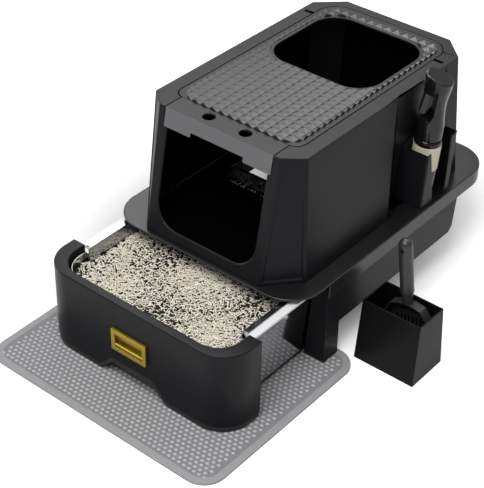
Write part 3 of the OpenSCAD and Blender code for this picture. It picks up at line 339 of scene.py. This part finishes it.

# %% [markdown]
# Finishing a piece
#
# Every piece ends the same way. Its place goes into its mesh, it gets its finish, and it rides on the body that it
# moves with. It then hides the solids that it stands in for.

# %% A function that finishes a piece
def finish_piece(obj, name, body, material, stands_for=()):
    only(obj)
    bpy.ops.object.transform_apply(location=True, rotation=True, scale=True)
    obj.name = name
    if material is not None:
        obj.data.materials.clear()
        obj.data.materials.append(material)
    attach(obj, body)
    if stands_for:
        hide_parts(*stands_for)
    return obj


print("finishes to choose from:", len(bpy.data.materials))

# %% [markdown]
# Softened copies
#
# A moulding never has a knife edge: its corners are rounded by half a millimetre to two, and each catches a thin
# line of light. Where a solid's form is already right, its mesh is copied, its loose triangles are merged, and
# the sharp edges get a weight that a bevel reads. Edges shorter than half a millimetre are the facets of small
# holes, and stay as they are. A face with more than a dozen corners is first cut into triangles, and the bevel
# doesn't slide along its neighbours: on the deck, a big face would otherwise spread over part of the opening.

# %% Functions for softened copies
def merged_copy(node, name):
    obj = nodes[node].copy()
    obj.data = nodes[node].data.copy()
    obj.animation_data_clear()
    obj.parent = None
    obj.name = name
    bpy.context.collection.objects.link(obj)
    only(obj)
    bpy.ops.object.mode_set(mode="EDIT")
    bpy.ops.mesh.select_all(action="SELECT")
    bpy.ops.mesh.remove_doubles(threshold=0.00001)
    bpy.ops.mesh.dissolve_limited(angle_limit=math.radians(0.3))
    bpy.ops.object.mode_set(mode="OBJECT")
    if obj.data.has_custom_normals:
        bpy.ops.mesh.customdata_custom_splitnormals_clear()
    return obj


MOST_CORNERS = 12


def soften(obj, width, steps=2, sharp=28, shortest=0.0005, share=lambda edge: 1.0):
    only(obj)
    mesh = bmesh.new()
    mesh.from_mesh(obj.data)
    bmesh.ops.triangulate(mesh, faces=[f for f in mesh.faces if len(f.verts) > MOST_CORNERS])
    layers = mesh.edges.layers.float
    weight = layers.get("bevel_weight_edge") or layers.new("bevel_weight_edge")
    for edge in mesh.edges:
        if len(edge.link_faces) == 2 and edge.calc_face_angle(0) > math.radians(sharp):
            if edge.calc_length() > shortest:
                edge[weight] = share(edge)
    mesh.to_mesh(obj.data)
    mesh.free()
    modify(obj, "BEVEL", width=width, segments=steps, limit_method="WEIGHT", use_clamp_overlap=False,
           loop_slide=False)
    smooth(obj)
    return modify(obj, "WEIGHTED_NORMAL", keep_sharp=True)


def softened_node(node, name, body, material, width, steps=2, **more):
    obj = soften(merged_copy(node, name), width, steps, **more)
    return finish_piece(obj, name, body, material, (node,))


print("corners above which a face is cut:", MOST_CORNERS)

# %% [markdown]
# Deck, skirt and legs
#
# The deck is a shallow moulded tray, and its rim is rounded by about two millimetres, which gives the thin light
# line along its edge in the picture. The low ridge on it is rounded less. What lies under the hood is painted
# near-black, as painted shade: a separate piece could carry it, but two finishes on one mesh keep the moulding
# whole. Skirt and legs are plainer mouldings with about a millimetre of rounding.

# %% Soften the deck, the skirt and the legs
RIDGE_LEVEL = 0.1765
COVERED_HALF, COVERED_FRONT, COVERED_BACK, COVERED_LEVEL = 0.166, 0.016, 0.556, 0.1745
FRONT_CUT_SLOPE, FRONT_CUT_START = 1.13, 0.118
BACK_CUT_SLOPE, BACK_CUT_START = 0.96, 0.122


def middle(edge):
    return (edge.verts[0].co + edge.verts[1].co) / 2


def two_finishes(obj, finishes, takes_second):
    obj.data.materials.clear()
    for finish in finishes:
        obj.data.materials.append(finish)
    for face in obj.data.polygons:
        face.material_index = int(takes_second(face))


def deck_share(edge):
    return 0.3 if middle(edge).z > RIDGE_LEVEL else 1.0


def under_hood(face):
    x, y, z = abs(face.center.x), face.center.y, face.center.z
    return (x < COVERED_HALF and COVERED_FRONT < y < COVERED_BACK and z > COVERED_LEVEL
            and y - COVERED_FRONT > FRONT_CUT_SLOPE * (x - FRONT_CUT_START)
            and COVERED_BACK - y > BACK_CUT_SLOPE * (x - BACK_CUT_START))


deck = softened_node("deck", "deck_moulding", "base", None, 0.0018, 4, share=deck_share)
# The deck's faces under the hood are painted near-black: painted shade.
two_finishes(deck, (deck_polypropylene, painted_shade_polypropylene), under_hood)
softened_node("skirt_frame", "skirt_moulding", "base", polypropylene, 0.0009)
for leg in ("front_leg_left", "front_leg_right", "rear_leg_left", "rear_leg_right"):
    softened_node(leg, leg + "_moulding", "base", polypropylene, 0.0012)
print("deck's faces:", len(deck.data.polygons))

# %% [markdown]
# The hood's corner panels
#
# The hood is a tapered box with cut corners. Each of the two front corners carries a shallow panel, sunk by a
# little over two millimetres, which breaks the light on them into bands. A boolean could cut them, but an inset
# face that is pushed in follows the leaning corner by itself.
# The long side and top faces are then cut across, so that the rounding of one end can't pull at the other.

# %% Sink the hood's corner panels
PANEL_RIM, PANEL_STEP = 0.0060, 0.0024
RECESS_CUT, TOP_CUTS = 0.35, (0.16, 0.27)
hood = merged_copy("hood_shell", "hood_moulding")


def pick_faces(obj, test):
    only(obj)
    bpy.ops.object.mode_set(mode="EDIT")
    bpy.ops.mesh.select_mode(type="FACE")
    bpy.ops.mesh.select_all(action="DESELECT")
    bpy.ops.object.mode_set(mode="OBJECT")
    picked = 0
    for face in obj.data.polygons:
        face.select = test(face)
        picked += face.select
    bpy.ops.object.mode_set(mode="EDIT")
    return picked


def cut_faces(obj, test, place, normal):
    pick_faces(obj, test)
    bpy.ops.mesh.bisect(plane_co=place, plane_no=normal)
    bpy.ops.object.mode_set(mode="OBJECT")


def on_corner(face):
    return face.area > 0.002 and abs(face.normal.x) > 0.4 and face.normal.y < -0.4 and face.center.y < 0.09


def on_right_side(face):
    return face.normal.x > 0.3 and face.center.x > 0.13 and face.center.y > 0.1


def on_top(face):
    return face.normal.z > 0.9 and face.center.z > 0.39


corner_panels = pick_faces(hood, on_corner)
bpy.ops.mesh.inset(thickness=PANEL_RIM, depth=0.0)
bpy.ops.mesh.inset(thickness=PANEL_STEP, depth=-PANEL_STEP)
bpy.ops.object.mode_set(mode="OBJECT")
cut_faces(hood, on_right_side, (0, 0, RECESS_CUT), (0, 0, 1))
for distance in TOP_CUTS:
    cut_faces(hood, on_top, (0, distance, 0), (0, 1, 0))
print("corner panels:", corner_panels)

# %% [markdown]
# The hood's edges
#
# One bevel rounds the whole hood, and each edge takes a share of its width. A bevel for each width could do it
# too, but each would cut into the corners that the last one made. The slope into the bottle's recess is rounded
# most, by six millimetres. The entry takes three, plain edges a little over one, and the rest less.

# %% Round the hood's edges
HOOD_ROUNDING = 0.020
SLOPE_SHARE, ENTRY_SHARE, PLAIN_SHARE, FINE_SHARE, HAIR_SHARE = 0.3, 0.15, 0.06, 0.04, 0.015
SLOPE_LOW, SLOPE_HIGH = (0.13, 0.29, 0.17), (0.18, 0.35, 0.41)
ENTRY_HALF, ENTRY_TOP, ENTRY_FOOT, FRONT_LEAN = 0.1065, 0.368, 0.008, 0.184
PANEL_FRONT, PANEL_SIDE, PANEL_FOOT, PANEL_TOP = 0.075, 0.1225, 0.185, 0.396
RECESS_TOP = (0.13, 0.28, 0.38)
HOOD_FOOT = 0.176


def direction(edge):
    return (edge.verts[0].co - edge.verts[1].co).normalized()


def within(point, low, high):
    return all(a <= v <= b for a, v, b in zip(low, point, high))


def on_entry(point):
    front = ENTRY_FOOT + FRONT_LEAN * (point.z - HOOD_FOOT)
    return abs(point.x) < ENTRY_HALF and point.z < ENTRY_TOP and abs(point.y - front) < 0.001


def on_panel(point):
    return point.y < PANEL_FRONT and PANEL_SIDE < abs(point.x) and PANEL_FOOT < point.z < PANEL_TOP


def hood_share(edge):
    here = middle(edge)
    if within(here, SLOPE_LOW, SLOPE_HIGH) and abs(direction(edge).z) > 0.5:
        return SLOPE_SHARE if here.z < RECESS_CUT else FINE_SHARE
    if all(v > low for v, low in zip(here, RECESS_TOP)):
        return HAIR_SHARE
    return FINE_SHARE if on_panel(here) else ENTRY_SHARE if on_entry(here) else PLAIN_SHARE


soften(hood, HOOD_ROUNDING, 4, sharp=20, share=hood_share)
finish_piece(hood, "hood_moulding", "base", None, ("hood_shell",))
print("hood's faces:", len(hood.data.polygons))

# %% [markdown]
# The hood's inner walls
#
# The near-black painted shade goes on every face that lies within the outline of the inner walls and looks
# inward or down. By hand one would pick the faces in edit mode, but their numbers change with every bevel, so their
# place and normal pick them. Each part of the outline is written as two numbers: where it is at the hood's foot,
# and how far it has moved at the hood's top.

# %% Paint shade onto the hood's inner walls
HOOD_RISE, CEILING = 0.2286, 0.3965
INNER_HALF, INNER_FRONT, INNER_BACK = (0.1705, -0.016), (0.0115, 0.042), (0.5585, -0.010)
CUT_WIDTH, CUT_DEPTH, CUT_START = (0.052, -0.020), (0.061, -0.033), (0.1195, 0.004)
BACK_CUT_WIDTH, BACK_CUT_DEPTH = 0.047, 0.045
RECESS_WALL, RECESS_FRONT, RECESS_BACK, SLOPE_RATE = (0.1405, 0.0172), 0.345, 0.4715, 0.786
HOOD_MIDDLE = 0.29


def leaned(wall, up):
    return wall[0] + wall[1] * up


def inside_hood(face):
    x, y, z = face.center + 0.001 * face.normal
    x, up = abs(x), (z - HOOD_FOOT) / HOOD_RISE
    half, front, back = leaned(INNER_HALF, up), leaned(INNER_FRONT, up), leaned(INNER_BACK, up)
    cut_front = (y - front) * leaned(CUT_WIDTH, up) > leaned(CUT_DEPTH, up) * (x - leaned(CUT_START, up))
    cut_back = (back - y) * BACK_CUT_WIDTH > BACK_CUT_DEPTH * (x - half + BACK_CUT_WIDTH)
    if not (x < half and front < y < back and z < CEILING and cut_front and cut_back):
        return False
    inward = -face.center.x * face.normal.x + (HOOD_MIDDLE - y) * face.normal.y
    wall = leaned(RECESS_WALL, up) + SLOPE_RATE * max(0, RECESS_FRONT - y)
    return (inward > 0 or face.normal.z < -0.3) and (face.center.x < 0 or y > RECESS_BACK or x < wall)


# The faces inside the hood are painted near-black: painted shade.
two_finishes(hood, (polypropylene, painted_shade_polypropylene), inside_hood)
print("dark faces in the hood:", sum(face.material_index for face in hood.data.polygons))

# %% [markdown]
# The lid
#
# The lid is one moulding. Its panel is flat, and the smooth strip in front of it has two finger holes and bends
# down into a fascia, whose faces are painted a lighter grey: painted light. Both solids have the right form, so
# they are copied and softened, and the fascia is found by the way its faces look.

# %% Soften the lid
softened_node("lid_panel", "lid_moulding", "lid", lid_polypropylene, 0.0009)
strip = softened_node("lid_front", "lid_strip_moulding", "lid", None, 0.0011)


def on_fascia(face):
    return face.normal.y < -0.6 and face.center.y < 0.06


# The forward-facing faces of the strip take the lighter grey: painted light.
two_finishes(strip, (strip_polypropylene, fascia_painted_light), on_fascia)
print("fascia's faces:", sum(face.material_index for face in strip.data.polygons))

# %% [markdown]
# The lid's pyramids
#
# Most of the lid is a field of small pyramids that gives the cat a grip, 19 mm by 16 mm each. A bump in the finish
# could draw them, but they are high enough to show in the outline, so they are modelled. The field has a rounded
# outline and stays clear of the top entry, and a rounded block cuts each of the two.

# %% Sizes and cutters for the pyramids
TOP = 0.4046
PITCH_X, PITCH_Y, RISE = 0.0187, 0.0162, 0.0054
COLUMNS, ROWS, SHRINK, SUNK = 14, 27, 0.999, 0.0003
FIELD_HALF, FIELD_FRONT, FIELD_BACK, FIELD_RADIUS = 0.1195, 0.0910, 0.5210, 0.03
CLEAR_HALF, CLEAR_FRONT, CLEAR_BACK, CLEAR_RADIUS = 0.1145, 0.2885, 0.5035, 0.056


def rounded_block(name, half, y0, y1, z0, z1, radius):
    deselect()
    bpy.ops.mesh.primitive_cube_add(size=1, location=(0, (y0 + y1) / 2, (z0 + z1) / 2),
                                    scale=(2 * half, y1 - y0, z1 - z0))
    block = bpy.context.object
    bpy.ops.object.transform_apply(location=True, rotation=True, scale=True)
    only(block)
    mesh = bmesh.new()
    mesh.from_mesh(block.data)
    weight = mesh.edges.layers.float.new("bevel_weight_edge")
    for edge in mesh.edges:
        a, b = edge.verts
        edge[weight] = float(abs(a.co.z - b.co.z) > 0.5 * (z1 - z0))
    mesh.to_mesh(block.data)
    mesh.free()
    modify(block, "BEVEL", width=radius, segments=10, limit_method="WEIGHT")
    block.name = name
    return block


def cut_with(obj, cutter, operation):
    modify(obj, "BOOLEAN", operation=operation, object=cutter, solver="EXACT")
    bpy.data.objects.remove(cutter)


print("pyramids before the trim:", COLUMNS * ROWS)

# %% [markdown]
# One pyramid and its copies
#
# One pyramid is a four-sided cone, and two array modifiers repeat it. Each stands a little in the panel and a hair
# apart from the next one, so that the boolean that trims the field meets no shared faces.

# %% Lay the pyramids
def repeat(obj, count, step):
    modify(obj, "ARRAY", count=count, use_relative_offset=False, use_constant_offset=True,
           constant_offset_displace=step)


deselect()
bpy.ops.mesh.primitive_cone_add(vertices=4, radius1=0.5 * math.sqrt(2), radius2=0.0, depth=1.0,
                                rotation=(0, 0, math.radians(45)))
field = bpy.context.object
bpy.ops.object.transform_apply(location=True, rotation=True, scale=True)
field.scale = (PITCH_X * SHRINK, PITCH_Y * SHRINK, RISE)
field.location = (-(COLUMNS - 1) / 2 * PITCH_X, FIELD_FRONT, TOP - SUNK + RISE / 2)
bpy.ops.object.transform_apply(location=True, rotation=True, scale=True)
repeat(field, COLUMNS, (PITCH_X, 0, 0))
repeat(field, ROWS, (0, PITCH_Y, 0))
outline = rounded_block("edge", FIELD_HALF, FIELD_FRONT, FIELD_BACK, TOP - 0.01, TOP + 0.02, FIELD_RADIUS)
cut_with(field, outline, "INTERSECT")
entry = rounded_block("hole", CLEAR_HALF, CLEAR_FRONT, CLEAR_BACK, TOP - 0.02, TOP + 0.03, CLEAR_RADIUS)
cut_with(field, entry, "DIFFERENCE")
# The grip's lighter grey is painted light on the pyramids.
finish_piece(field, "lid_pyramids", "lid", grip_polypropylene)
print("pyramid field's faces:", len(field.data.polygons))

# %% [markdown]
# The drawer
#
# The front wraps round two wide corners. It is rounded by a little over two millimetres along its top and its
# foot, which draws the light lines there, and by one elsewhere. It could be drawn anew as a bent strip, but its
# solid already has the wings and the arch. The base, the tray, the sheets and the rails follow in the same way,
# each rounded by a millimetre or less.

# %% Soften the drawer's pieces
RIM_LEVEL, FOOT_LEVEL = 0.1655, 0.0175


def drawer_share(edge):
    return 0.4 if FOOT_LEVEL <= middle(edge).z <= RIM_LEVEL else 1.0


drawer_front = softened_node("drawer_front", "drawer_front_moulding", "drawer", polypropylene, 0.0024, 4,
                             share=drawer_share)
softened_node("drawer_base", "drawer_base_moulding", "drawer", tray_polypropylene, 0.001)
softened_node("litter_tray", "litter_tray_pressing", "drawer", tray_steel, 0.0005)
softened_node("drawer_back", "drawer_back_sheet", "drawer", acrylic, 0.0004)
for side in ("left", "right"):
    softened_node("side_panel_" + side, "side_sheet_" + side, "drawer", mirror_sheet, 0.0004)
    softened_node("top_rail_" + side, "top_trim_" + side, "drawer", trim, 0.0008)
print("drawer front's faces:", len(drawer_front.data.polygons))

# %% [markdown]
# The bottle's pocket and the scoop's bin
#
# The pocket's two upright outer corners are clearly round, by four and a half millimetres, and its other edges
# are a fifth of that. A share for each edge gives both in one bevel, as on the hood. The bin is a plain moulding.

# %% Soften the pocket and the bin
POCKET_FACE, POCKET_FRONT, POCKET_BACK = 0.1985, 0.364, 0.451


def pocket_share(edge):
    here = middle(edge)
    upright = abs(direction(edge).z) > 0.9
    outer = here.x > POCKET_FACE and upright and not POCKET_FRONT < here.y < POCKET_BACK
    return 1.0 if outer else 0.2


pocket = softened_node("bottle_pocket", "bottle_pocket_moulding", "base", polypropylene, 0.0045, 3,
                       share=pocket_share)
softened_node("scoop_bin", "scoop_bin_moulding", "bin", bin_polypropylene, 0.0012)
print("pocket's faces:", len(pocket.data.polygons))

# %% [markdown]
# One stick of litter
#
# The tray is filled with short curved sticks, up to 2 mm thick and 5 to 10 mm long. One stick is a four-sided
# tube with a bend. A cylinder could be bent by a modifier, but operators are a slow way to make thousands, so the
# stick is written as points and faces, and kept to ten faces.

# %% A function for one stick
RINGS, SIDES, END_SHARE = 3, 4, 0.8


def stick(long, thick, bend):
    points = []
    for i in range(RINGS):
        t = i / (RINGS - 1) - 0.5
        centre = Vector((long * t, bend * (0.25 - t * t) * 4 - bend / 2, 0))
        wide = thick * (END_SHARE if i in (0, RINGS - 1) else 1.0) / 2
        for j in range(SIDES):
            a = 2 * math.pi * j / SIDES
            points.append(centre + Vector((0, math.cos(a) * wide, math.sin(a) * wide)))
    faces = [(i * SIDES + j, i * SIDES + (j + 1) % SIDES, (i + 1) * SIDES + (j + 1) % SIDES, (i + 1) * SIDES + j)
             for i in range(RINGS - 1) for j in range(SIDES)]
    faces += [tuple(reversed(range(SIDES))), tuple(range((RINGS - 1) * SIDES, RINGS * SIDES))]
    return points, [tuple(reversed(f)) for f in faces]


print("faces of one stick:", len(stick(0.01, 0.002, 0.0)[1]))

# %% [markdown]
# The litter's outline
#
# The sticks may not stick through the tray. It is a little wider in front, where it fills the drawer's front, and
# its two front corners are round. A collision test for each stick would be slow, so its middle is tested against
# that outline instead.

# %% The tray's outline
TRAY_HALF, TRAY_HALF_FRONT, TRAY_STEP = 0.1625, 0.172, -0.086
CORNER_X, CORNER_Y, CORNER_START, CORNER_RADIUS = 0.132, -0.101, -0.1, 0.037


def in_tray(x, y):
    if abs(x) > (TRAY_HALF if y > TRAY_STEP else TRAY_HALF_FRONT):
        return False
    from_corner = math.hypot(max(0, abs(x) - CORNER_X), max(0, CORNER_Y - y))
    return not (y < CORNER_START and from_corner > CORNER_RADIUS)


print("the middle and a front corner lie in the tray:", in_tray(0, 0), in_tray(TRAY_HALF_FRONT, -0.14))

# %% [markdown]
# Scattering the litter
#
# A particle system could scatter the sticks, but plain meshes are wanted that ride on the drawer, so a function
# puts the copies into one mesh. Places that are only drawn at random leave bald patches, so each step moves on by a
# fixed fraction of the tray, which spreads the sticks evenly, and a draw with a fixed seed shifts each a little.

# %% A function that scatters sticks
LITTER_TOP, STICKS = 0.1400, 5600
SPREAD_X, SPREAD_Y, SHIFT = 0.7548777, 0.5698403, 0.0012
LENGTHS, THICKNESSES, BENDS, DEPTHS = (0.0048, 0.0100), (0.0015, 0.0020), (-0.2, 0.25), (-0.0055, 0.0004)
TIP, SWELL = 0.22, 0.0022


def scatter(name, count, y0, y1, seed):
    chance = random.Random(seed)
    corners, faces = [], []
    made = step = 0
    while made < count:
        step += 1
        x = TRAY_HALF_FRONT * (2 * (step * SPREAD_X % 1) - 1) + chance.uniform(-SHIFT, SHIFT)
        y = y0 + (y1 - y0) * (step * SPREAD_Y % 1) + chance.uniform(-SHIFT, SHIFT)
        if not in_tray(x, y):
            continue
        long = chance.uniform(*LENGTHS)
        points, shape = stick(long, chance.uniform(*THICKNESSES), chance.uniform(*BENDS) * long)
        turn = (Matrix.Rotation(chance.uniform(0, 2 * math.pi), 4, "Z")
                @ Matrix.Rotation(chance.gauss(0, TIP), 4, "Y")
                @ Matrix.Rotation(chance.uniform(0, 6.28), 4, "X"))
        swell = SWELL * math.sin(x * 31 + 1.0) * math.cos(y * 27)
        move = Matrix.Translation((x, y, LITTER_TOP + chance.uniform(*DEPTHS) + swell)) @ turn
        start = len(corners)
        corners += [move @ p for p in points]
        faces += [tuple(start + i for i in f) for f in shape]
        made += 1
    mesh = bpy.data.meshes.new(name)
    mesh.from_pydata(corners, [], faces)
    mesh.update()
    obj = bpy.data.objects.new(name, mesh)
    bpy.context.collection.objects.link(obj)
    smooth(obj, 50)
    return finish_piece(obj, name, "drawer", pellet_fibre)


print("sticks in each half of the tray:", STICKS)

# %% [markdown]
# The litter
#
# The tray is well filled, and the gaps between the sticks look deep. Sticks all the way down would show little
# more than the top ones do, so those lie on a bed painted near-black, which is painted shade for the deep gaps.
# The bed is the litter's solid, squashed a little so that the sticks rise out of it.

# %% Fill the tray
BED_FOOT, BED_SHARE = 0.063, 0.96
bed = merged_copy("litter", "litter_shade_bed")
only(bed)
bed.scale = (1, 1, BED_SHARE)
bed.location.z = BED_FOOT * (1 - BED_SHARE)
finish_piece(bed, "litter_shade_bed", "drawer", litter_shade, ("litter",))
front_sticks = scatter("litter_front", STICKS, -0.141, 0.03, 7)
rear_sticks = scatter("litter_rear", STICKS, 0.03, 0.261, 8)
print("sticks' faces:", len(front_sticks.data.polygons) + len(rear_sticks.data.polygons))

# %% [markdown]
# The mat
#
# The mat is two sheets. The upper one has a smooth flat border round a field that lies 0.4 mm lower and is a shade
# darker, so its finish is chosen by the height of each face.

# %% Soften the mat
FIELD, FIELD_LIMIT = 0.0046, 0.0048
softened_node("mat_base", "mat_lower_sheet", "base", mat_rubber, 0.0004)
mat_sheet = softened_node("mat_top", "mat_upper_sheet", "base", None, 0.0005)


def on_field(face):
    return face.normal.z > 0.9 and face.center.z < FIELD_LIMIT


two_finishes(mat_sheet, (mat_rubber, mat_field), on_field)
print("field's faces:", sum(face.material_index for face in mat_sheet.data.polygons))

# %% [markdown]
# The mat's dimples
#
# The field is covered with low dimples. A bump in the finish could draw them, but they would go flat at the mat's
# edge and from the side, so each is a real dome: half of a squashed ball, repeated by two array modifiers, with
# every second row moved by half a pitch.

# %% Raise the mat's dimples
STEP_X, STEP_Y, DIMPLE = 0.0105, 0.0087, (0.0036, 0.0027, 0.0008)


def dimple_rows(name, first_x, first_y, across, along):
    deselect()
    bpy.ops.mesh.primitive_uv_sphere_add(segments=8, ring_count=6, radius=1.0)
    dome = bpy.context.object
    bpy.ops.object.mode_set(mode="EDIT")
    bpy.ops.mesh.select_all(action="SELECT")
    bpy.ops.mesh.bisect(plane_co=(0, 0, 0.01), plane_no=(0, 0, 1), clear_inner=True, use_fill=False)
    bpy.ops.object.mode_set(mode="OBJECT")
    dome.scale = DIMPLE
    dome.location = (first_x, first_y, FIELD - 0.0001)
    bpy.ops.object.transform_apply(location=True, rotation=True, scale=True)
    repeat(dome, across, (STEP_X, 0, 0))
    repeat(dome, along, (0, 2 * STEP_Y, 0))
    dome.name = name
    return dome


rows = [dimple_rows("even", -0.2258, -0.2440, 44, 21), dimple_rows("odd", -0.22055, -0.2353, 43, 21)]
deselect()
for row in rows:
    row.select_set(True)
bpy.context.view_layer.objects.active = rows[0]
bpy.ops.object.join()
dimples = bpy.context.object
smooth(dimples, 60)
finish_piece(dimples, "mat_dimples", "base", mat_dimple)
print("dimples' faces:", len(dimples.data.polygons))

# %% [markdown]
# The drawer's pull
#
# The pull is a stamped plate with a sunk window and a bar across it. Its rim is rounded by nearly a millimetre,
# so that it shows a bright line, and the window's floor lies in shade. Shade painted into the finish would look
# wrong from other sides, so the sunk window of the solid makes it.

# %% Soften the pull
plate = softened_node("pull_plate", "pull_stamping", "drawer", brass, 0.0008, 3)
softened_node("pull_grip", "pull_bar", "drawer", brass_bar, 0.0012, 3)
print("pull plate's faces:", len(plate.data.polygons))

# %% [markdown]
# The spray bottle and the scoop
#
# The bottle's solids are already turned on its axis, so the copies only need their edges rounded. The sprayer's
# head is a moulding with wide, soft corners. The label, the dip tube, screws, pins and pads could be softened
# too, but their edges are hidden or too small to see, so they keep their solids and only take a finish.

# %% Soften the bottle and the scoop
softened_node("spray_bottle", "bottle_body", "bottle", bottle_polyester, 0.0008)
softened_node("bottle_collar", "bottle_cap_ring", "bottle", polished_plastic, 0.0008)
softened_node("sprayer_head", "sprayer_head_moulding", "bottle", polished_plastic, 0.0016, 3)
softened_node("sprayer_nozzle", "sprayer_tip", "bottle", polished_plastic, 0.0008)
softened_node("sprayer_trigger", "sprayer_lever", "trigger", trigger_plastic, 0.0012, 3)
softened_node("scoop_blade", "scoop_shovel", "scoop", scoop_polypropylene, 0.0005)
softened_node("scoop_handle", "scoop_grip", "scoop", scoop_polypropylene, 0.001)
# The hinge pins take the near-black steel: painted shade for their slots.
plain_finishes = {
    "bottle_label": label_film, "dip_tube": tube_polythene, "trigger_pin": steel, "leg_pads": pad_rubber,
    "leg_screws": steel, "hood_screws": steel, "lid_hinge_pins": black_steel, "pull_screws": steel,
    "pocket_screws": steel, "glide_pads": felt}
for node, finish in plain_finishes.items():
    for holder in nodes[node].material_slots:
        holder.material = finish
print("pieces that only take a finish:", len(plain_finishes))

# %% [markdown]
# The floor
#
# A pale floor takes the shadow. For the camera it also glows, so that it shows as white away from the box. The
# glow fades out under and beside the box, where the shadow has to stay. Rays that carry plain light never see
# it, and in a reflection it is less than half as strong, so it doesn't light the object. Brighter lamps could
# make the floor white too, but would wash out the object and its shadow.

# %% Lay the floor
GLOW_MOST, GLOW_REFLECTED = 0.7, 0.4
FADE_PLACE, FADE_SCALE, FADE_START, FADE_END = (0.19, -0.33, 0), (1.6, 1.1, 1.0), 0.3, 0.6


def background_rays(tree):
    path = add_node(tree, "ShaderNodeLightPath")
    seen = add_node(tree, "ShaderNodeMath", {0: path.outputs["Is Camera Ray"],
                                             1: path.outputs["Is Transmission Ray"]}, operation="MAXIMUM")
    return path, seen.outputs[0]


deselect()
bpy.ops.mesh.primitive_plane_add(size=14, location=(0, 0, -0.0002))
floor = bpy.context.object
floor.name = "floor"
material, tree, out = new_material("painted_pale_floor")
paint = add_node(tree, "ShaderNodeBsdfPrincipled", {"Base Color": linear("#f4f4f4"), "Roughness": 0.9,
                                                    "Specular IOR Level": 0.1})
path, seen = background_rays(tree)
mirrored = add_node(tree, "ShaderNodeMath", {0: path.outputs["Is Glossy Ray"], 1: GLOW_REFLECTED},
                    operation="MULTIPLY")
seen = add_node(tree, "ShaderNodeMath", {0: seen, 1: mirrored.outputs[0]}, operation="MAXIMUM").outputs[0]
coords = add_node(tree, "ShaderNodeTexCoord")
where = add_node(tree, "ShaderNodeMapping", {0: coords.outputs["Object"], 1: FADE_PLACE, 3: FADE_SCALE})
under = add_node(tree, "ShaderNodeTexGradient", {0: where.outputs[0]}, gradient_type="SPHERICAL")
lift = add_node(tree, "ShaderNodeMapRange", {0: under.outputs["Fac"], 1: FADE_START, 2: FADE_END, 3: GLOW_MOST,
                                             4: 0.0})
glow = add_node(tree, "ShaderNodeMath", {0: lift.outputs[0], 1: seen}, operation="MULTIPLY")
glowing = add_node(tree, "ShaderNodeEmission", {"Color": (1, 1, 1, 1), "Strength": glow.outputs[0]})
both = add_node(tree, "ShaderNodeAddShader", {0: paint.outputs[0], 1: glowing.outputs[0]})
tree.links.new(both.outputs[0], out.inputs[0])
floor.data.materials.append(material)
print("floor's width:", round(floor.dimensions.x, 2), "m")

# %% [markdown]
# The surroundings
#
# The camera sees the surroundings as white. The light that they put on the object, and what its gloss mirrors of
# them, stay at a plain strength. A wall behind the box could be the background, but it would throw light back
# and cut off views from other sides.

# %% Set the surroundings
DAYLIGHT, WHITE = 0.38, 1.0
world = bpy.data.worlds.new("studio")
bpy.context.scene.world = world
world.use_nodes = True
tree = world.node_tree
tree.nodes.clear()
seen = background_rays(tree)[1]
strength = add_node(tree, "ShaderNodeMapRange", {0: seen, 3: DAYLIGHT, 4: WHITE})
sky = add_node(tree, "ShaderNodeBackground", {"Color": (1, 1, 1, 1), "Strength": strength.outputs[0]})
add_node(tree, "ShaderNodeOutputWorld", {0: sky.outputs[0]})
bpy.context.scene.view_settings.view_transform = "Standard"
print("light from the surroundings:", DAYLIGHT)

# %% [markdown]
# The lamps
#
# One large soft lamp hangs above and in front. Five more act as a photographer's reflector cards: they show only
# in the sheen, so that level faces, pyramids and rounded edges turn grey without growing brighter all over. One
# bright lamp could do that too, but it would bleach the litter and the mat.

# %% Hang the lamps
AIM = (0, 0.2, 0.2)
CARDS = (
    ("card_behind", (-1.25, 1.65, 1.95), 1.5, 22),
    ("card_above", (-0.65, 0.75, 2.4), 1.5, 36),
    ("card_left", (-2.2, -0.6, 0.9), 1.0, 22),
    ("card_front", (-1.2, -0.5, 2.5), 1.1, 12),
    ("card_right", (0.8, 1.9, 2.5), 1.1, 17))


def lamp(name, place, target, size, watts):
    data = bpy.data.lights.new(name, "AREA")
    data.shape, data.size, data.energy = "SQUARE", size, watts
    obj = bpy.data.objects.new(name, data)
    bpy.context.collection.objects.link(obj)
    obj.location = place
    obj.rotation_euler = (Vector(target) - Vector(place)).to_track_quat("-Z", "Y").to_euler()
    return obj


lamp("overhead", (0.35, -1.0, 2.3), (0, 0.0, 0.1), 1.3, 48)
for name, place, size, watts in CARDS:
    lamp(name, place, AIM, size, watts).visible_diffuse = False
